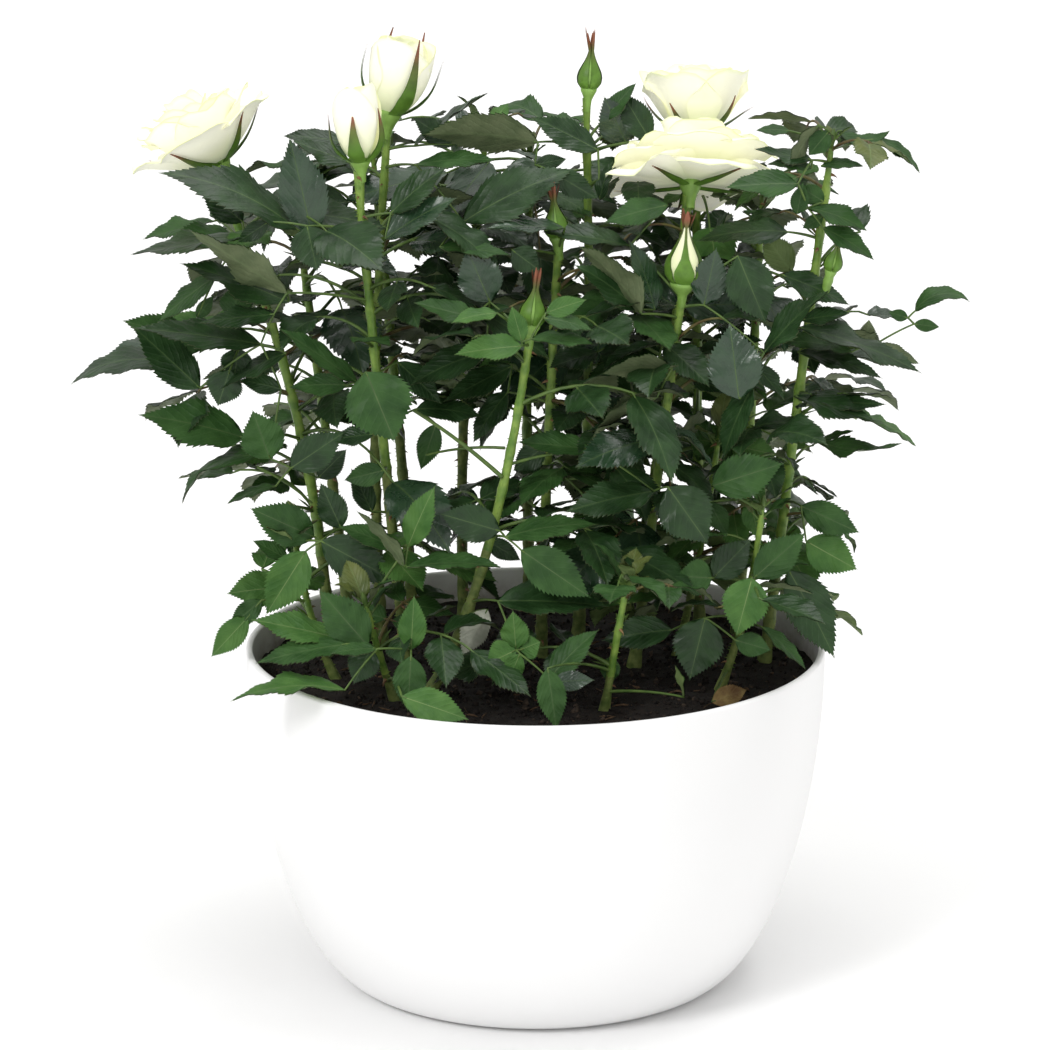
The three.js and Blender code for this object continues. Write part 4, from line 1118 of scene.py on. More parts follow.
# foot and tip in the front view, width shown, depth of the foot, how much deeper the tip lies, tone, arch in degrees
frontLeaves = [
    ((287, 293), (192, 231), 26, -14, -6, "underGrey"), ((289, 302), (184, 264), 30, -8, 0, "deep"),
    ((244, 236), (133, 254), 15, 0, -4, "deep", 6), ((216, 276), (160, 320), 20, 4, 0, "mid", 12),
    ((274, 314), (202, 322), 20, -16, 0, "deep"), ((261, 344), (138, 328), 28, -12, -4, "deep"),
    ((200, 388), (135, 328), 40, -4, -4, "deep", 6), ((230, 370), (218, 405), 36, -8, 0, "deep", 6),
    ((281, 389), (240, 380), 20, -10, 0, "deep"), ((239, 348), (234, 378), 32, -2, 0, "deep"),
    ((270, 459), (253, 412), 44, -16, -4, "mid"), ((291, 468), (343, 433), 36, -14, 0, "deep"),
    ((358, 383), (282, 330), 20, -22, 0, "mid"), ((366, 372), (394, 440), 68, -34, -4, "mid"),
    ((347, 385), (291, 387), 22, -14, 0, "mid"), ((307, 226), (317, 270), 42, -14, -4, "deep"),
    ((312, 236), (290, 140), 48, -6, 6, "blue"), ((350, 163), (294, 141), 20, 8, 0, "deep"),
    ((243, 222), (202, 188), 30, 2, 0, "deep"), ((268, 222), (238, 242), 18, -12, 0, "deep"),
    ((391, 213), (445, 168), 28, -6, 0, "deep"), ((385, 239), (454, 199), 28, -10, 0, "blue"),
    ((416, 165), (494, 160), 16, 10, 0, "mid"), ((538, 142), (426, 134), 38, 20, -4, "underGrey", 24),
    ((414, 146), (487, 93), 7, 24, 6, "deep"), ((455, 145), (414, 118), 26, 26, 0, "deep"),
    ((598, 150), (534, 118), 28, 26, 0, "deep"), ((535, 165), (566, 159), 16, 18, 0, "deep"),
    ((463, 222), (571, 170), 44, 4, 8, "deep"), ((552, 172), (596, 198), 26, 12, 0, "deep"),
    ((565, 228), (489, 228), 14, 0, -4, "blue"), ((630, 246), (545, 232), 18, 2, 0, "deep"),
    ((440, 247), (510, 255), 15, -12, 0, "mid"), ((490, 302), (467, 249), 44, -14, 0, "blue"),
    ((512, 250), (539, 270), 28, -6, 0, "deep"), ((497, 313), (453, 322), 15, -34, -4, "fresh"),
    ((522, 346), (457, 354), 26, -36, -4, "fresh"), ((522, 342), (512, 307), 20, -34, 0, "fresh"),
    ((531, 339), (593, 344), 14, -34, -2, "mid"), ((546, 313), (585, 300), 20, -30, 0, "fresh"),
    ((544, 318), (592, 330), 16, -32, -2, "mid"), ((474, 318), (416, 303), 22, -24, 0, "mid"),
    ((642, 314), (581, 247), 27, -12, 0, "underGrey", 34), ((638, 310), (577, 266), 28, -8, 0, "deep"),
    ((655, 310), (630, 242), 26, -4, 0, "blue"), ((672, 368), (603, 373), 22, -24, -4, "underGrey"),
    ((657, 397), (592, 438), 12, -24, -2, "underGrey"), ((590, 449), (520, 442), 24, -22, 0, "mid"),
    ((654, 491), (568, 511), 34, -34, -4, "deep"), ((668, 487), (707, 542), 54, -42, -4, "deep"),
    ((505, 537), (595, 524), 24, -44, 0, "mid"), ((521, 550), (588, 596), 44, -50, -4, "mid"),
    ((500, 531), (441, 514), 38, -38, 0, "deep"), ((498, 601), (606, 606), 34, -46, -2, "deep"),
    ((408, 547), (434, 488), 28, -40, 0, "fresh"), ((405, 566), (357, 511), 13, -44, 4, "underGrey"),
    ((407, 567), (500, 567), 16, -48, 0, "mid"), ((392, 548), (340, 527), 20, -30, 0, "mid"),
    ((321, 541), (394, 580), 44, -26, 0, "deep"), ((341, 528), (321, 484), 30, -18, 0, "deep"),
    ((314, 537), (252, 509), 42, -20, -4, "mid"), ((306, 551), (267, 613), 42, -26, -4, "fresh"),
    ((288, 560), (254, 541), 16, -22, 0, "mid"), ((262, 600), (230, 627), 22, -22, -2, "mid"),
    ((343, 639), (255, 620), 28, -48, -4, "fresh"), ((368, 646), (321, 592), 44, -52, 4, "mid"),
    ((346, 644), (259, 662), 24, -58, -4, "mid"), ((377, 649), (332, 653), 13, -64, 0, "mid"),
    ((411, 650), (414, 597), 28, -60, 0, "fresh"), ((411, 656), (408, 710), 33, -72, -4, "mid"),
    ((371, 648), (354, 683), 32, -56, -6, "deep"), ((345, 690), (233, 700), 16, -72, -3, "fresh", 38),
    ((516, 650), (513, 612), 28, -60, 0, "fresh"), ((516, 650), (487, 664), 34, -62, -2, "fresh"),
    ((520, 654), (507, 683), 20, -64, 0, "fresh"), ((520, 650), (540, 642), 26, -60, 0, "fresh"),
    ((552, 682), (593, 680), 20, -68, 0, "blue"), ((550, 678), (597, 631), 28, -62, 4, "mid"),
    ((610, 657), (610, 683), 20, -50, 0, "mid"), ((705, 618), (690, 678), 50, -44, -6, "deep"),
    ((735, 640), (770, 650), 24, -46, 0, "mid"), ((672, 630), (604, 640), 32, -38, 0, "deep"),
    ((684, 697), (676, 666), 5, -70, 0, "underFresh"), ((712, 702), (746, 690), 18, -47, 9, "brown"),
    ((754, 578), (804, 534), 36, -38, 4, "mid"), ((713, 578), (750, 540), 34, -34, 4, "deep"),
    ((712, 578), (677, 576), 36, -38, -2, "mid"), ((752, 578), (737, 634), 46, -44, -6, "fresh"),
    ((801, 506), (858, 532), 32, -10, -4, "mid"), ((806, 541), (856, 569), 40, -14, -4, "fresh"),
    ((750, 500), (759, 539), 24, -12, -4, "fresh"), ((762, 627), (805, 668), 13, -34, -4, "mid"),
    ((709, 502), (727, 534), 22, -14, 0, "mid"), ((738, 256), (765, 321), 48, -8, -4, "deep"),
    ((704, 305), (716, 250), 36, -6, 0, "blue"), ((764, 353), (828, 291), 22, -18, 0, "deep"),
    ((739, 399), (730, 326), 54, -26, 4, "blue"), ((782, 275), (848, 304), 24, 2, 0, "deep"),
    ((801, 320), (849, 313), 16, 0, 0, "deep"), ((799, 327), (918, 371), 22, -6, -4, "deep"),
    ((870, 348), (918, 363), 20, 6, 0, "underGrey"), ((866, 346), (869, 320), 17, 8, 0, "underGrey"),
    ((914, 324), (939, 327), 13, 10, 0, "mid"), ((908, 318), (889, 312), 12, 10, 0, "mid"),
    ((808, 394), (884, 404), 18, -2, 0, "deep", -16), ((794, 396), (874, 421), 20, -6, -2, "deep", 6),
    ((712, 486), (781, 464), 44, -30, 0, "mid"), ((753, 386), (724, 457), 26, -22, -2, "deep"),
    ((790, 131), (757, 130), 10, 8, 0, "mid"), ((818, 125), (792, 168), 14, 2, 0, "underGrey", 40),
    ((829, 131), (809, 155), 22, 4, 0, "mid"), ((838, 131), (889, 131), 13, 8, 0, "mid", -95),
    ((879, 139), (920, 173), 10, 10, 0, "mid", 40), ((812, 160), (756, 149), 14, 4, 0, "deep", 0.1),
    ((821, 166), (863, 166), 10, 6, 0, "mid"), ((798, 184), (728, 187), 25, -6, -4, "mid", 14),
    ((808, 208), (866, 230), 18, -2, -2, "mid", 30), ((823, 228), (873, 259), 20, -4, -2, "mid"),
    ((650, 140), (622, 93), 30, 40, 4, "deep"), ((600, 200), (612, 162), 14, 20, 0, "deep"),
    ((792, 272), (765, 235), 30, 30, 0, "underFresh"), ((788, 232), (700, 240), 26, 6, 0, "deep"),
    ((668, 205), (606, 222), 26, -2, 0, "mid"),
    ((297, 229), (164, 173), 38, -6, -4, "deep", 46), ((180, 366), (73, 382), 22, 10, 8, "deep", 62),
    ((197, 318), (213, 296), 14, 6, 0, "mid"), ((236, 318), (236, 284), 32, 8, 0, "mid"),
    ((286, 353), (222, 388), 15, -12, 0, "deep", 20), ((262, 456), (182, 503), 14, -8, -4, "mid", 84),
    ((276, 486), (228, 503), 9, -10, 0, "mid", 26), ((318, 478), (346, 450), 24, -4, 0, "deep"),
    ((385, 470), (345, 480), 24, -10, 0, "mid"), ((374, 434), (330, 440), 18, -14, 0, "deep"),
    ((486, 540), (520, 560), 20, -20, 0, "deep"), ((248, 617), (212, 656), 27, -24, -4, "fresh"),
    ((798, 352), (880, 377), 18, 2, 0, "deep"), ((852, 352), (780, 342), 18, 4, 0, "mid"),
    ((752, 362), (784, 399), 15, -16, 0, "deep"), ((812, 438), (901, 443), 12, 2, -4, "mid", -46),
    ((915, 311), (970, 302), 16, 12, 2, "mid", 116), ((812, 168), (768, 164), 12, 4, 0, "mid"),
    ((797, 214), (803, 183), 18, -2, 0, "mid"), ((824, 202), (799, 186), 20, 0, 0, "mid"),
    ((823, 216), (803, 228), 14, 4, 0, "mid"), ((372, 512), (352, 470), 22, 0, 0, "deep"),
    ((416, 409), (480, 416), 24, 10, 0, "deep"), ((508, 392), (474, 441), 24, 14, 0, "deep"),
    ((436, 424), (421, 469), 24, 12, 0, "mid"), ((545, 446), (514, 470), 26, 4, 0, "deep"),
    ((486, 352), (412, 384), 30, -2, 0, "deep"), ((512, 366), (446, 400), 28, 8, 0, "deep"),
    ((398, 362), (440, 402), 26, 6, 0, "deep"),
]
placedLeaves, placedCentres = [], []
frontStalks = [  # both ends in the front view, depth, radius
    ((502, 477), (413, 410), -30, 0.85), ((505, 448), (426, 455), -20, 0.6), ((640, 560), (566, 478), -20, 0.7),
    ((257, 467), (312, 503), -12, 0.5),
]


rootPlan = {"drop": 0.2, "aboveSoil": 8, "belowTip": 2, "leafFar": 1.15, "thick": 0.62, "thin": 0.42, "end": 0.34}


def nearestRoot(spot, feet):  # on a cane, or at the foot of a leaf placed before
    plan = rootPlan
    best, found = None, math.inf
    for cane in canes:
        height = spot[2] - plan["drop"] * np.linalg.norm(spot[:2] - cane.tip[:2])
        height = np.clip(height, soilTop + plan["aboveSoil"], cane.tip[2] - plan["belowTip"])
        root = cane.at(cane.shareAt(height))
        away = np.linalg.norm(spot - root)
        if away < found:
            best, found = (root, cane, plan["thick"]), away
    for foot, cane in feet:
        away = np.linalg.norm(spot - foot) * plan["leafFar"]
        if away < found:
            best, found = (foot, cane, plan["thin"]), away
    return best


def placeFrontLeaves():
    feet = []
    for index, (foot, tip, shown, depth, deeper, tone, *arch) in enumerate(frontLeaves):
        draw = seededDraws(seeds["front"] + index)
        base, end = fromView(foot, depth), fromView(tip, depth + deeper)
        length = np.linalg.norm(end - base)
        along = (end - base) / length
        shownWidth = shown * np.linalg.norm(base - eye) / focus
        width = max(shownWidth, min(length * 0.5, 20))
        facing = unit(eye - (base + end) / 2)
        facing -= along * np.dot(along, facing)
        ahead = np.linalg.norm(facing)
        level = unit(np.cross(along, facing))
        level = level if level[2] > 0 else -level
        seen = min(1, shownWidth / (width * ahead))
        face = facing / ahead * seen * (-1 if tone.startswith("under") else 1) + level * math.sqrt(1 - seen * seen)
        root, cane, thick = nearestRoot(base, feet)
        leaves, twigs = leafHeaps[regionOf[cane.name]], twigHeaps[regionOf[cane.name]]
        away = np.linalg.norm(base - root)
        if away > 0.5:
            path = curveThrough(root, (root + base) / 2 + vec(0, 0, 0.03 * away), base, 8)
            addTube(twigs, np.concatenate([path, [base + along * 1.5]]), np.linspace(thick, rootPlan["end"], 9), 6, 1)
        look = {"arch": arch[0], "fold": 0.6} if arch else {"bend": 0.55, "fold": 0.7}
        addLeaflet(leaves, base, end, unit(np.cross(face, along)), width, look, toneOf[tone], draw)
        feet.append((base, cane))
        placedLeaves.append((np.array(foot, float), np.array(tip, float), shown / 2, depth + deeper / 2))
        placedCentres.append((base + end) / 2)


placeFrontLeaves()
for root, end, depth, radius in frontStalks:
    root, end = fromView(root, depth), fromView(end, depth + 6)
    path = curveThrough(root, (root + end) / 2 + vec(0, 0, 1.2), end, 8)
    addTube(twigHeaps["Middle"], path, np.linspace(radius, radius * 0.7, 8), 6, 1)
placedFeet, placedTips = (np.array([leaf[i] for leaf in placedLeaves]) for i in (0, 1))
placedReach = np.linalg.norm(placedTips - placedFeet, axis=1)
placedCourse = (placedTips - placedFeet) / placedReach[:, None]
placedHalf, placedDepth = (np.array([leaf[i] for leaf in placedLeaves]) for i in (2, 3))


viewPlan = {
    "rows": (0.05, 0.97, 9), "columns": (-0.85, 0.85, 5), "ends": 0.03, "sides": 0.85, "covered": 0.14, "before": 1,
}


def fitsView(blade):  # leaves the sky open and the placed leaves uncovered
    plan = viewPlan
    share = np.linspace(*plan["rows"])[:, None, None]
    widest = leafPlan["widestAt"]
    width = np.where(share < widest, share / widest, (1 - share) / (1 - widest)) ** 0.6
    across = np.linspace(*plan["columns"])[None, :, None]
    points = blade["points"]
    spots = points[0] + (points[2] - points[0]) * share + (points[1] - points[3]) / 2 * across * width
    spots = spots.reshape(-1, 3)
    shown = shownAt(spots)
    if (((shown[:, None] - openSky[:, :2]) / openSky[:, 2:]) ** 2).sum(-1).min() < 1:
        return False
    away = shown[:, None] - placedFeet
    ahead = (away * placedCourse).sum(-1) / placedReach
    aside = np.abs(away[..., 0] * placedCourse[:, 1] - away[..., 1] * placedCourse[:, 0])
    within = (ahead > plan["ends"]) & (ahead < 1 - plan["ends"]) & (aside < placedHalf * plan["sides"])
    over = within & (spots[:, 1:2] < placedDepth + plan["before"])
    return over.mean(0).max() < plan["covered"]


for number, cane in enumerate(canes):
    region = regionOf[cane.name]
    for index, leaf in enumerate(cane.leaves):
        draw = seededDraws(seeds["leaves"] + number * 97 + index)
        tone = toneFor(leaf["rods"][0]["points"][0][2], leaf["top"], draw)
        kept = [blade for blade in leaf["blades"] if fitsView(blade)]
        if kept:
            addCompound(leafHeaps[region], twigHeaps[region], {**leaf, "blades": kept}, tone, draw)

# leaves that stand out at the crown's edge or hang over the rim: cane, foot and tip of the leaflet, width, tone, face
strayLeaves = [
    ("left_outer", (-119, 8, 231), (-146, 2, 242), 17, "mid", (0.2, -0.6, 0.8)),
    ("left_outer", (-104, -5, 201), (-140, -8, 210), 20, "mid", (0.1, -0.62, 0.78)),
    ("left_inner", (-69, 30, 302), (-90, 31, 304), 10, "deep", (0, -0.5, 0.86)),
    ("rear_tall", (25, 42, 308), (36, 43, 321), 7, "mid", (-0.4, -0.8, 0.4)),
    ("rear_tall", (33, 44, 299), (25, 42, 316), 14, "blue", (0, -0.95, 0.3)),
    ("low_right", (90, -24, 157), (106, -28, 127), 18, "deep", (0.25, -0.85, 0.45)),
    ("low_front_left", (-46, -86, 129), (-24, -89, 122), 13, "fresh", (0, -0.7, 0.7)),
    ("low_front", (4, -79, 137), (7, -84, 117), 10, "mid", (0, -0.95, 0.3)),
    ("centre_front", (-17, -36, 146), (-26, -38, 130), 10, "dry", (-0.3, -0.9, 0.2)),
]
strayCentres = []


def growStrays():
    for index, (name, base, tip, width, tone, face) in enumerate(strayLeaves):
        draw = seededDraws(seeds["strays"] + index)
        cane, base, tip = next(cane for cane in canes if cane.name == name), vec(*base), vec(*tip)
        leaves, twigs = leafHeaps[regionOf[name]], twigHeaps[regionOf[name]]
        height = min(cane.topmost, max(soilTop + 8, base[2] - 0.25 * np.linalg.norm(base[:2] - cane.tip[:2])))
        root = cane.at(cane.shareAt(height))
        along = unit(tip - base)
        middle = (root + base) / 2 + vec(0, 0, 0.06 * np.linalg.norm(base - root))
        path = curveThrough(root, middle, base, 9)
        path = np.concatenate([path, [base + along * 1.6]])
        addTube(twigs, path, np.linspace(0.66, 0.34, 10), 6, 1)
        side, look = unit(np.cross(unit(vec(*face)), along)), {"bend": 0.6, "fold": 0.8}
        addLeaflet(leaves, base, tip, side, width, look, toneOf[tone], draw)
        strayCentres.append((base + tip) / 2)


growStrays()

# finer leaves that fill in between, on the same canes and within the same reach
infillPlan = {
    "offset": 7.2, "step": 1.3, "turn": 72, "heading": 200, "rise": (26, 40), "roll": 50, "size": (0.62, 1),
    "twoPairs": 0.6, "tries": 8, "fewest": 3, "apart": 10, "below": 6, "aboveSoil": 9,
    "lower": {
        "middle_right": 30, "right_inner": 50, "low_middle": 18, "centre_inner": 40, "right_rear": 40,
        "rear_middle": 40, "right_outer": 30, "low_right": 10,
    },
}
headRoom = {"middle": 12, "behind": 4, "aside": 17, "below": -24, "above": 26, "slope": 0.25}


def hidesHead(spot):  # in front of a bloom or a bud
    plan = headRoom
    for cane in canes:
        if cane.head:
            middle = cane.tip + vec(0, 0, plan["middle"])
            across, up, front = abs(spot[0] - middle[0]), spot[2] - middle[2], middle[1] - spot[1]
            level = plan["below"] < up + front * plan["slope"] < plan["above"]
            if front > -plan["behind"] and across < plan["aside"] and level:
                return True
    return False


def growInfill():
    plan, count = infillPlan, 0
    centres = list(room.centre[: room.count]) + strayCentres + placedCentres
    low, high = (np.array(corner) / millimetre for corner in cadBox)
    for number, cane in enumerate(canes):
        height, index = cane.topmost - plan["offset"], 0
        lowest = max(soilTop + plan["aboveSoil"], cane.lowest + plan["below"] - plan["lower"].get(cane.name, 0))
        while height > lowest:
            for attempt in range(plan["tries"]):
                draw = seededDraws(seeds["infill"] + number * 1000 + index * 20 + attempt)
                size = cane.size * mix(*plan["size"], draw())
                heading = cane.phase + plan["turn"] + leafPlan["turn"] * index + plan["heading"] * (draw() - 0.5)
                pairs = ["upperPair", "lowerPair"] if draw() < plan["twoPairs"] else ["upperPair"]
                rise = plan["rise"][0] + plan["rise"][1] * (draw() - 0.5)
                roll = plan["roll"] * (draw() - 0.5)
                root = cane.at(cane.shareAt(height))
                rods, blades = compoundLeaf(root, heading, rise, roll, size, pairs, draw)
                near, kept = np.array(centres), []
                for blade in blades:
                    spot = blade["points"].mean(0)
                    inside = (blade["points"] > low + 1).all() and (blade["points"] < high - 1).all()
                    if not inside or hidesHead(spot) or not bitClearOfPlanter(blade):
                        continue
                    if np.linalg.norm(near - spot, axis=1).min() > plan["apart"] and fitsView(blade):
                        kept.append(blade)
                if len(kept) >= plan["fewest"] and bitClearOfPlanter(rods[1]):
                    centres += [blade["points"].mean(0) for blade in kept]
                    leaf = {"rods": rods, "blades": kept, "top": False}
                    tone = toneFor(height, False, draw)
                    region = regionOf[cane.name]
                    addCompound(leafHeaps[region], twigHeaps[region], leaf, tone, draw)
                    count += len(kept)
                    break
            height -= plan["offset"] * plan["step"]
            index += 1
    return count


print("filled in with", growInfill(), "leaflets")


shootPlan = {
    "leaves": 5, "turn": 137, "lean": (0.7, 1.5), "length": (9, 19), "stalk": 4, "sag": 0.15, "from": 0.5,
    "apart": 1.3, "young": 0.35, "fresh": 0.4, "shorter": {"right_outer": 0.36, "rear_middle": 0.36},
}


def addShootTip(leaves, twigs, cane, draw):  # young leaves round a small bud, on a cane that bears no bloom
    plan = shootPlan
    axis = unit(cane.tip - cane.at(0.96))
    for i in range(plan["leaves"]):
        out = unit(axis * mix(*plan["lean"], draw()) + headingVector(cane.phase + plan["turn"] * i, 0))
        length = mix(*plan["length"], draw()) * mix(0.8, 1, cane.size) * plan["shorter"].get(cane.name, 1)
        base = cane.tip - axis * (plan["from"] + plan["apart"] * i)
        up = unit(axis - out * np.dot(axis, out))
        addTube(twigs, [base, base + out * 3, base + out * 6], [0.5, 0.4, 0.35], 5, 1)
        tone = toneOf["young" if draw() < plan["young"] else "fresh" if draw() < plan["fresh"] else "mid"]
        foot = base + out * plan["stalk"]
        tip = base + out * (plan["stalk"] + length) - vec(0, 0, length * plan["sag"])
        addLeaflet(leaves, foot, tip, np.cross(up, out), length / 2, {"fold": 1.5, "bend": 1.1}, tone, draw)
    addTube(twigs, [cane.tip + axis * high for high in (-1, 1, 2.6, 4.4)], [0.8, 1.25, 1.1, 0.25], 8, 1)


for number, cane in enumerate(canes):
    if not cane.head:
        region = regionOf[cane.name]
        addShootTip(leafHeaps[region], twigHeaps[region], cane, seededDraws(seeds["shoots"] + number))


barkPlan = {
    "sides": 12, "step": 2.2, "slim": 0.92, "low": 0.74, "ridge": 0.05, "scar": 0.2, "prickleEvery": 9,
    "prickle": (1.5, 2.8), "bristleEvery": 0.9, "bristle": (0.7, 1.3), "scarHeight": 2.2, "scarTop": 0.4,
    "bareFoot": 4, "smoothFoot": 6, "bristleWidth": 0.26,
}
prickleCurve = ((0.35, 0.08), (0.72, 0.24), (1, 0.5))  # out of the bark and down, for a length of 1


def addPrickle(heap, spot, out, down, length, slot):
    path = [spot - out * 0.6, *(spot + out * length * far + down * length * drop for far, drop in prickleCurve)]
    addTube(heap, path, np.array([0.85, 0.48, 0.2, 0.04]) * length / 2.6, 5, slot)


def caneRadius(cane, share):
    tip = 1 if cane.head else mix(1, 0.55, eased((share - 0.9) / 0.1))
    slim = cane.head["stalk"] if share > cane.end and cane.head and "stalk" in cane.head else 1
    low = barkPlan["low"] if cane.name.startswith("low") else 1
    return cane.radiusAt(share) * barkPlan["slim"] * tip * slim * low


def caneSide(cane, share, rng):  # a spot on the bark, the way out of it and the way along it
    course = unit(cane.at(min(1, share + 0.01)) - cane.at(max(0, share - 0.01)))
    out = headingVector(rng.random() * 360, 0)
    out = unit(out - course * np.dot(out, course))
    return cane.at(share) + out * caneRadius(cane, share), out, course


def addBristles(heap, cane, first, last, rng, slot):
    length = np.linalg.norm(cane.tip - cane.foot) * (last - first)
    for share in np.linspace(first, last, int(length / barkPlan["bristleEvery"])):
        spot, out, course = caneSide(cane, share, rng)
        if spot[2] < soilTop + barkPlan["smoothFoot"]:
            continue
        across = np.cross(course, out) * barkPlan["bristleWidth"]
        reach = rng.uniform(*barkPlan["bristle"])
        root = spot - out * 0.2
        tip = spot + out * reach + course * rng.uniform(-0.3, 0.2)
        heap.add([root + across, root - across, root + course * 0.5, tip], [[0, 1, 3], [1, 2, 3], [2, 0, 3]], slot)


def makeCanes():
    heap = MeshHeap()
    plan = barkPlan
    for number, cane in enumerate(canes):
        rng = np.random.default_rng(seeds["canes"] + number)
        length = np.linalg.norm(cane.tip - cane.foot)
        for heapNow, first, last in ((heap, 0, cane.start), (twigHeaps[regionOf[cane.name]], cane.start, 1)):
            steps = max(6, int(length * (last - first) / plan["step"]))
            share = np.linspace(first, last, steps)
            path = np.array([cane.at(s) for s in share])
            if first == 0:
                path = np.concatenate([[path[0] - vec(0, 0, 3)], path])
                share = np.concatenate([[0], share])
            radius = np.array([caneRadius(cane, s) for s in share])
            angle = turnAngles(plan["sides"])
            relief = 1 + plan["ridge"] * rng.normal(size=(len(share), plan["sides"])) * 0.4
            relief += plan["ridge"] * 0.5 * np.sin(angle * 5 + share[:, None] * 9)
            for height in np.arange(cane.topmost - leafPlan["endRoom"], soilTop + 10, -leafPlan["spacing"]):
                above = path[:, 2] - height
                scar = np.exp(-(((above + 1) / plan["scarHeight"]) ** 2)) * (above < plan["scarTop"])
                relief += scar[:, None] * plan["scar"]
            addTube(heapNow, path, radius[:, None] * relief, plan["sides"], 1 if first == 0 else 0)
            prickles = 2 if first == 0 else 3
            share = first
            while True:
                share += plan["prickleEvery"] * rng.uniform(0.5, 1.6) / length
                if share >= last:
                    break
                spot, out, course = caneSide(cane, share, rng)
                if spot[2] > soilTop + plan["bareFoot"]:
                    addPrickle(heapNow, spot, out, -course, rng.uniform(*plan["prickle"]), prickles)
            addBristles(heapNow, cane, first, last, rng, 0)
    materials = [finish[name] for name in ("caneGreen", "caneOld", "prickleRed")]
    makePiece("caneBark", heap, materials, ["cane_" + cane.name for cane in canes])


makeCanes()
print("canes ready")


headSlots = {"petal": 0, "sepal": 1, "hip": 2, "stalk": 3, "bud": 4, "petal outside shaded": 5}
headFinishes = ("sepalTinted", "hipGreen", "caneGreen", "budGreen", "petalOutside")


def headMaterials(petals):
    return [finish[name] for name in (petals, *headFinishes)]


def headFrame(cane):
    lean, toward = cane.head.get("tilt", (cane.head["lean"], cane.head["toward"]))
    axis = headingVector(toward, 90 - lean)
    first = unit(vec(1, 0, 0) - axis * axis[0])
    return cane.tip + headShift(cane), first, np.cross(axis, first), axis


def headShift(cane):
    return vec(*cane.head.get("shift", (0, 0, 0)))


def outward(headAxes, heading):
    first, second = headAxes[1:3]
    angle = math.radians(heading)
    out = first * math.cos(angle) + second * math.sin(angle)
    return out, second * math.cos(angle) - first * math.sin(angle)


# share of length and width that differs from petal to petal, swing of its lean, width at its foot, thickness
petalPlan = {"differs": 0.12, "swing": 12, "power": 0.8, "claw": 0.3, "broadAt": 0.66, "thickness": 0.28, "steps": 33}


def addPetal(heap, headAxes, heading, plan, size, draw, outside, rows=12, cols=11):
    origin, axis = headAxes[0], headAxes[3]
    out, across = outward(headAxes, heading)
    wild = plan["wild"]
    length = plan["length"] * (1 + petalPlan["differs"] * wild * (draw() - 0.5))
    width = plan["width"] * (1 + petalPlan["differs"] * wild * (draw() - 0.5))
    fine = np.linspace(0, 1, petalPlan["steps"])
    tipLean = plan["leanTip"] + petalPlan["swing"] * wild * (draw() - 0.5)
    lean = mix(plan["leanRoot"], tipLean, fine ** petalPlan["power"])
    lean = np.radians(lean + plan["curl"] * np.clip((fine - 0.7) / 0.3, 0, 1) ** 1.6)
    step = length / (petalPlan["steps"] - 1)
    middle = (lean[1:] + lean[:-1]) / 2
    radial = plan["out"] + np.concatenate([[0], np.cumsum(np.sin(middle))]) * step
    height = plan["low"] + np.concatenate([[0], np.cumsum(np.cos(middle))]) * step
    v, u = np.meshgrid(np.linspace(0, 1, rows), np.linspace(-1, 1, cols), indexing="ij")
    reach = v * (1 - plan["round"] * np.abs(u) ** 2.4 - plan["notch"] * np.exp(-((u / 0.22) ** 2)))
    claw = petalPlan["claw"]
    broad = width / 2 * (claw + (1 - claw) * np.sin(np.pi / 2 * np.clip(v / petalPlan["broadAt"], 0, 1)))
    cup = plan["cup"] * mix(0.75, 1, v)
    angle = u * broad / cup
    lateral, inward = cup * np.sin(angle), cup * (1 - np.cos(angle))
    phase = draw() * 6.3
    edge = np.clip((np.abs(u) - 0.5) / 0.5, 0, 1) ** 2 * v**1.5 + np.clip((v - 0.75) / 0.25, 0, 1) ** 2 * 0.6
    shift = inward - plan["roll"] * edge + plan["ruffle"] * np.sin(u * 5 + phase) * v**2
    shift = shift + 0.35 * np.sin(v * 7 + phase) * u * v
    leanHere = np.interp(reach, fine, lean)
    radialHere = np.interp(reach, fine, radial) - np.cos(leanHere) * shift
    heightHere = np.interp(reach, fine, height) + np.sin(leanHere) * shift
    points = origin + size * (
        out * radialHere[..., None] + across * lateral[..., None] + axis * heightHere[..., None]
    )
    normal = out * -np.cos(leanHere)[..., None] + axis * np.sin(leanHere)[..., None]
    faces = gridFaces(rows, cols)
    heap.add(points, faces, 0, v)
    # the outer sheet takes the outside finish, which holds painted shade
    heap.add(points - normal * (petalPlan["thickness"] * size), faces[:, underTurn], outside, v)


def addStrip(heap, headAxes, heading, path, widths, shares, cup=6, size=1.0):  # a sepal along a path of (out, high)
    origin, axis = headAxes[0], headAxes[3]
    out, across = outward(headAxes, heading)
    path, widths = np.asarray(path, float), np.asarray(widths, float)
    course = np.gradient(path, axis=0)
    course /= np.linalg.norm(course, axis=1)[:, None]
    normal = np.stack([-course[:, 1], course[:, 0]], 1)
    u = np.linspace(-1, 1, 5)
    s = widths[:, None] / 2 * u
    lateral, inward = cup * np.sin(s / cup), cup * (1 - np.cos(s / cup))
    radial = path[:, :1] + normal[:, :1] * inward
    height = path[:, 1:] + normal[:, 1:] * inward
    points = origin + size * (out * radial[..., None] + across * lateral[..., None] + axis * height[..., None])
    faces = gridFaces(len(path), 5)
    share = np.repeat(shares, 5)
    heap.add(points, faces, headSlots["sepal"], share)
    gap = (out * normal[:, 0][:, None, None] + axis * normal[:, 1][:, None, None]) * (0.3 * size)
    heap.add(points - gap, faces[:, underTurn], headSlots["sepal"], share)


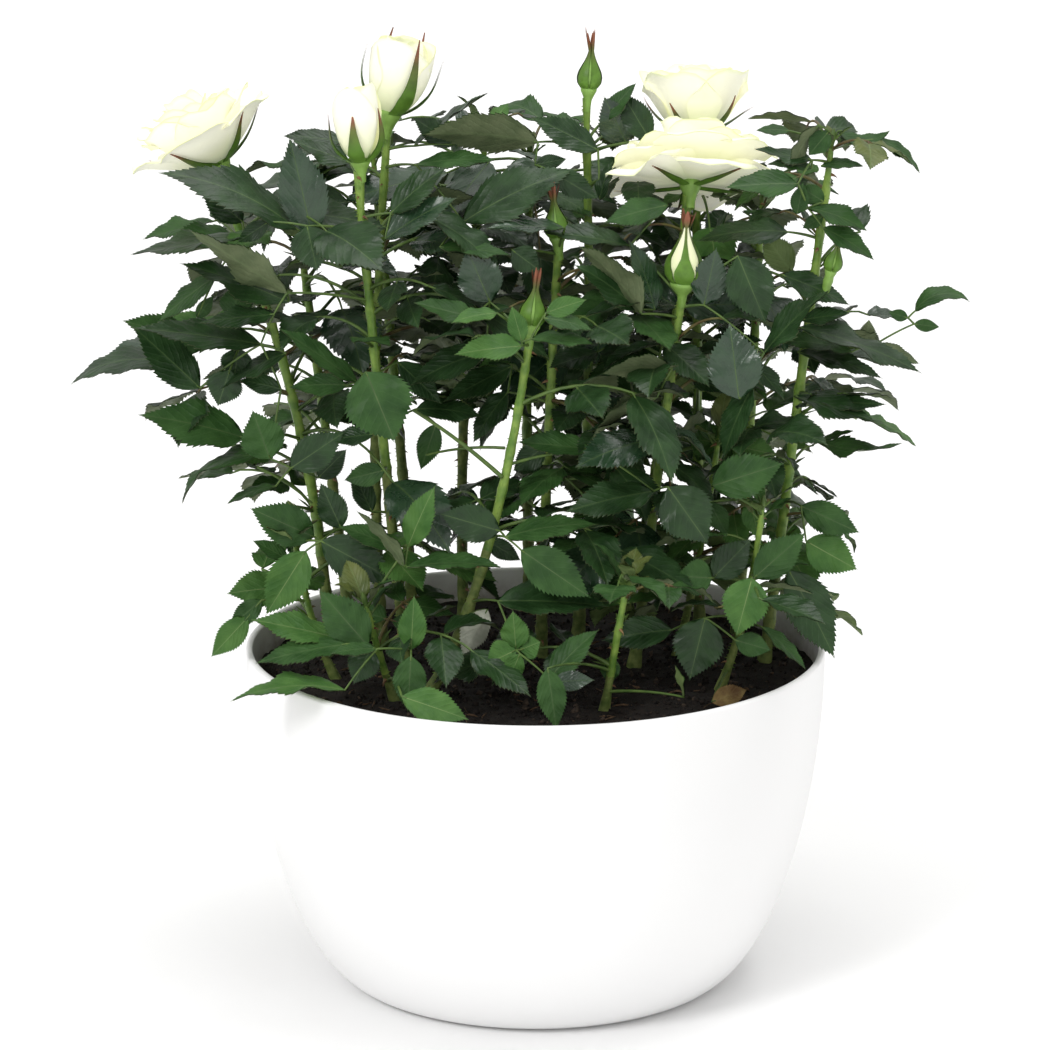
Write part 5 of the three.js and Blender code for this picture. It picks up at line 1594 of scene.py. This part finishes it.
def addTurned(heap, headAxes, profile, slot, shares, sides=20, size=1.0):  # a round body about the head's axis
    origin, first, second, axis = headAxes
    angle = turnAngles(sides)
    radii, heights = np.asarray(profile, float).T
    around = first * np.outer(radii, np.cos(angle))[..., None] + second * np.outer(radii, np.sin(angle))[..., None]
    ring = origin + size * (around + axis * heights[:, None, None])
    heap.add(ring, gridFaces(len(profile), sides, closed=True), slot, np.repeat(shares, sides))


ringKeys = (
    "count", "length", "width", "leanRoot", "leanTip", "curl", "cup", "low", "out", "roll", "start", "wild",
    "ruffle", "round", "notch",
)
usualRing = {"wild": 1, "ruffle": 0.45, "round": 0.34, "notch": 0.05}


def petalRing(row):
    return {**usualRing, **dict(zip(ringKeys, row))}


# rings of petals from the outermost in, each with the values that ringKeys names
bloomPlans = {
    "open": [
        (5, 30, 35, 94, 80, 50, 30, 6, 3, 3.0, 12, 1.2, 1.3),
        (5, 28, 32, 80, 62, 56, 22, 7, 3, 3, 50, 1.5, 1.2),
        (5, 24.5, 28, 62, 50, 50, 15, 8, 2.6, 2.4, 12, 2, 0.9),
        (5, 21, 24, 48, 38, 44, 11, 9, 2.2, 1.8, 48, 2.4, 0.9),
        (5, 17.5, 18, 30, 28, 30, 8, 9.5, 1.8, 1.1, 5, 2.6, 0.7),
        (5, 14.5, 14, 14, 14, 18, 5.4, 10, 1.4, 0.6, 40, 2.4, 0.5),
        (4, 12.5, 11, 0, 4, 8, 3.4, 10.5, 0.8, 0.2, 80, 2),
    ],
    "full": [
        (5, 31, 34, 76, 48, 34, 22, 5, 3, 2.4, 188, 0.8, 1),
        (5, 30, 32, 62, 26, 42, 17, 6, 3, 2.4, 224, 1.4, 1),
        (5, 28, 29, 50, 14, 34, 14, 7, 2.6, 2, 22, 2),
        (5, 26, 24, 36, 8, 28, 10.5, 8, 2.2, 1.4, 58, 2.2),
        (5, 24, 19, 22, 6, 20, 7.5, 8.5, 1.8, 0.8, 5, 2.2),
        (4, 22, 14, 8, 4, 10, 4.6, 9, 1.2, 0.4, 80, 2),
    ],
    "bowl": [
        (4, 30, 37, 64, 4, 26, 19, 4.5, 3, 2.6, 48, 0.8, 0.6),
        (4, 28, 33, 52, 0, 28, 15, 5.5, 2.6, 2.2, 96, 1.2, 0.6),
        (4, 25, 26, 42, 2, 30, 11, 6.5, 2.2, 1.4, 50, 1.6),
        (5, 22, 20, 28, 0, 20, 7.5, 7.5, 1.8, 0.8, 41, 2),
        (4, 18, 14, 12, 0, 8, 4.6, 8.5, 1.2, 0.3, 80, 2),
    ],
    "cup": [
        (3, 25.5, 30, 56, -22, 12, 10.4, 4.4, 2.6, 0.7, 262, 1, 0.2, 0.26, -0.07),
        (3, 25, 26, 46, -22, 4, 8.8, 5, 2.2, 0.3, 205, 1, 0.2, 0.26, -0.07),
        (3, 24, 20, 34, -18, 0, 6.2, 5.4, 1.8, 0.1, 230, 1, 0.15, 0.26),
        (3, 22, 14, 18, -10, 0, 3.8, 6, 1.0, 0, 240, 1, 0.1, 0.26),
    ],
}

sepalPlans = {  # leans from the axis at root and tip, length and width
    "open": {"leanRoot": 92, "leanTip": 84, "length": 26, "width": 3.6, "low": 4},
    "full": {"leanRoot": 80, "leanTip": 46, "length": 29, "width": 5, "low": 3.6},
    "bowl": {"leanRoot": 74, "leanTip": 48, "length": 24, "width": 4.6, "low": 4},
    "cup": {
        "leanRoot": 62, "leanTip": -10, "length": 30, "width": 5.2, "low": 3.6,
        "at": ((182, 12), (295, 4), (356, 36), (60, 8), (120, -4)),
    },
    "bud": {"leanRoot": 66, "leanTip": -8, "length": 23, "width": 6, "low": 3.2},
}


def sepalPath(plan, curl, out=2.2):
    share = np.linspace(0, 1, 14)
    lean = np.radians(mix(plan["leanRoot"], plan["leanTip"], eased(share * 1.25)) + curl * share**3)
    step = plan["length"] / 13
    radial = out + np.concatenate([[0], np.cumsum(np.sin(lean[1:]))]) * step
    height = plan["low"] + np.concatenate([[0], np.cumsum(np.cos(lean[1:]))]) * step
    taper = np.where(share < 0.3, mix(0.75, 1, share / 0.3), np.clip((1 - share) / 0.7, 0, 1) ** 1.25)
    return np.stack([radial, height], 1), plan["width"] * taper + 0.25, share


def addHip(heap, headAxes, radius, size):
    profile = [
        (1.5, -4), (1.75, -1), (radius * 0.62, 1.2), (radius * 0.9, 3.4), (radius, 5), (radius * 0.92, 6.4),
        (radius * 0.6, 7.4), (0.2, 7.8),
    ]
    addTurned(heap, headAxes, profile, headSlots["hip"], np.linspace(0, 1, len(profile)), 20, size)


def addPeduncle(heap, cane):  # from the topmost leaf up to the head
    share = np.linspace(max(0, cane.end - 0.01), 1, 10)
    path = np.array([cane.at(s) for s in share])
    tip, axis = headFrame(cane)[::3]
    path += headShift(cane) * (np.linspace(0, 1, 10) ** 1.5)[:, None]
    path = np.concatenate([path, [tip + axis * 1.5]])
    addTube(heap, path, np.linspace(1.4, 1.5, len(path)) * cane.head.get("stalk", 1), 10, headSlots["stalk"])
    rng = np.random.default_rng(seeds["bristles"] + len(cane.name))
    addBristles(heap, cane, share[0], 0.985, rng, headSlots["stalk"])


def addBloom(heap, cane):
    head = cane.head
    headAxes = headFrame(cane)
    size = head["size"] * head.get("grow", 1)
    draw = seededDraws(seeds["blooms"] + len(head["node"]) * 7 + int(head["lean"]))
    for ring in map(petalRing, bloomPlans[head["kind"]]):
        for i in range(ring["count"]):
            heading = ring["start"] + 360 * (i + 0.25 * ring["wild"] * (draw() - 0.5)) / ring["count"]
            addPetal(heap, headAxes, heading, ring, size, draw, headSlots["petal outside shaded"])
    sepal = sepalPlans[head["kind"]]
    turns = sepal.get("at") or [(20 + 72 * i + 14 * (draw() - 0.5), mix(-24, 24, draw())) for i in range(5)]
    for heading, curl in turns:
        path, width, share = sepalPath(sepal, curl)
        addStrip(heap, headAxes, heading, path, width, share, size=size)
    addHip(heap, headAxes, 3.9, size)


def addCreamBud(heap, cane):
    headAxes = headFrame(cane)
    radius, height = np.array(cane.head["bud"]) * cane.head["grow"]
    draw = seededDraws(seeds["creamBud"])
    rings = [
        (2, height * 1.03, radius * 2.5, 52, -24, 0, radius * 0.98, 4.4, 2, 0, 250, 1, 0.2, 0.3, -0.07),
        (2, height, radius * 2.2, 42, -22, 0, radius * 0.8, 5, 1.8, 0, 330, 1, 0.2, 0.3, -0.07),
        (3, height * 0.94, radius * 1.7, 30, -16, 0, radius * 0.6, 5, 1.2, 0, 200, 1, 0.1, 0.3),
    ]
    for ring in map(petalRing, rings):
        for i in range(ring["count"]):
            addPetal(heap, headAxes, ring["start"] + 360 * i / ring["count"], ring, 1, draw, headSlots["petal"])
    for i in range(5):
        path, width, share = sepalPath(sepalPlans["bud"], mix(-16, 14, draw()))
        path[:, 0] = np.maximum(path[:, 0], 0.5)
        addStrip(heap, headAxes, 262 + 72 * i + 8 * (draw() - 0.5), path, width, share)
    addHip(heap, headAxes, 4.2, 0.95)


budShape = {
    "share": (0, 0.07, 0.18, 0.32, 0.46, 0.6, 0.74, 0.87, 1),
    "radius": (0.42, 0.72, 0.95, 1, 0.89, 0.66, 0.42, 0.25, 0.15),
}


# how far a sepal reaches round the bud at each share of its height, and the widths of its tail
coverPlan = {"at": (0, 0.25, 0.5, 0.8, 1), "striped": (1.3, 1.15, 0.52, 0.34, 0.6), "green": (1.2, 1.02, 1, 1, 1.1)}
tailPlan = {"striped": (1.4, 2.1, 2.0, 1.2, 0.25), "green": (1.2, 1.1, 1.0, 0.7, 0.2)}


def budProfile(radius, height, low):
    share = np.linspace(0, 1, 19)
    radii = radius * np.interp(share, budShape["share"], budShape["radius"])
    return np.stack([radii, low + share * height], 1), share


def addGreenBud(heap, cane, striped, tails):
    headAxes = headFrame(cane)
    radius, height = np.array(cane.head["bud"]) * cane.head.get("grow", 1)
    stalk = cane.head.get("stalk", 1)
    draw = seededDraws(seeds["buds"] + int(cane.head["bud"][0] * 10))
    height *= 1.12 if striped else 1.22
    body, share = budProfile(radius * 0.95, height, 3.4)
    slot, reach = (headSlots["petal"], (0.08, 0.27)) if striped else (headSlots["bud"], (0.3, 0.75))
    addTurned(heap, headAxes, body, slot, mix(*reach, share), 24)
    for i in range(5):
        profile, share = budProfile(radius, height, 3.1)
        tailLength = tails * mix(0.75, 1.1, draw())
        lean = math.radians(mix(-2, 20, draw()))
        tailEnd = [math.sin(lean) * tailLength, math.cos(lean) * tailLength]
        tail = profile[-1] + np.outer(np.linspace(0.2, 1, 5), tailEnd)
        path = np.concatenate([profile, tail])
        ratio = np.concatenate([share * 0.7, np.linspace(0.76, 1, 5)])
        cover = np.interp(share, coverPlan["at"], coverPlan["striped" if striped else "green"])
        ends = tailPlan["striped" if striped else "green"]
        width = np.concatenate([profile[:, 0] * cover + 0.15, ends])
        addStrip(heap, headAxes, (54 if striped else 18) + 72 * i, path, width, ratio, cup=radius)
    neck = [
        (1.5 * stalk, -5), (1.6 * stalk, -2.4), (1.85 * stalk, -0.6), (radius * 0.5, 1.2), (radius * 0.66, 2.6),
        (radius * 0.68, 3.6), (radius * 0.5, 4.6), (0.2, 5),
    ]
    addTurned(heap, headAxes, neck, headSlots["hip"], np.linspace(0, 1, len(neck)), 18)


sideBudPlan = {"height": 250, "tip": (104.2, 3, 257), "radius": 3.3, "length": 8, "lean": 14, "toward": 350}


class SideBud:  # a small bud on a short stalk out of a cane's side
    def __init__(self, cane, height, tip, radius, length, lean, toward):
        self.root, self.tip = cane.at(cane.shareAt(height)), vec(*tip)
        self.head = {"bud": (radius, length), "lean": lean, "toward": toward}


def makeSideBud():
    cane = next(cane for cane in canes if cane.name == "right_outer")
    bud = SideBud(cane, **sideBudPlan)
    heap = MeshHeap()
    axis = headFrame(bud)[3]
    path = curveThrough(bud.root, (bud.root + bud.tip) / 2 + vec(1.2, -0.6, -0.8), bud.tip + axis * 1.2, 8)
    addTube(heap, path, np.linspace(1.1, 0.95, 8), 8, headSlots["stalk"])
    addGreenBud(heap, bud, False, 4.5)
    makePiece("budSideHead", heap, headMaterials("petalBud")[:-1])


def makeHeads():
    for cane in canes:
        if not cane.head:
            continue
        heap = MeshHeap()
        node = cane.head["node"]
        if "kind" in cane.head:
            addBloom(heap, cane)
        elif node == "bud_cream":
            addCreamBud(heap, cane)
        else:
            addGreenBud(heap, cane, node == "bud_striped", 8.5 if node == "bud_green_top" else 7)
        addPeduncle(heap, cane)
        petals = "petalCream" if "kind" in cane.head else "petalBud"
        pieceName = "".join(part.capitalize() if i else part for i, part in enumerate(node.split("_")))
        makePiece(pieceName + "Head", heap, headMaterials(petals), [node])


makeHeads()
makeSideBud()
print("blooms and buds ready")

for region, names in regions.items():
    nodes = ["foliage_" + name for name in names]
    blades, stalks = ([finish[name] for name in slots] for slots in (leafSlots, twigSlots + ["prickleRed"]))
    makePiece("leaves" + region, leafHeaps[region], blades, nodes, veined=True)
    makePiece("twigs" + region, twigHeaps[region], stalks, nodes)
    counts = [sum(len(face) - 2 for face in heap.faces) for heap in (leafHeaps[region], twigHeaps[region])]
    print("leaves and twigs", region, counts, "triangles")
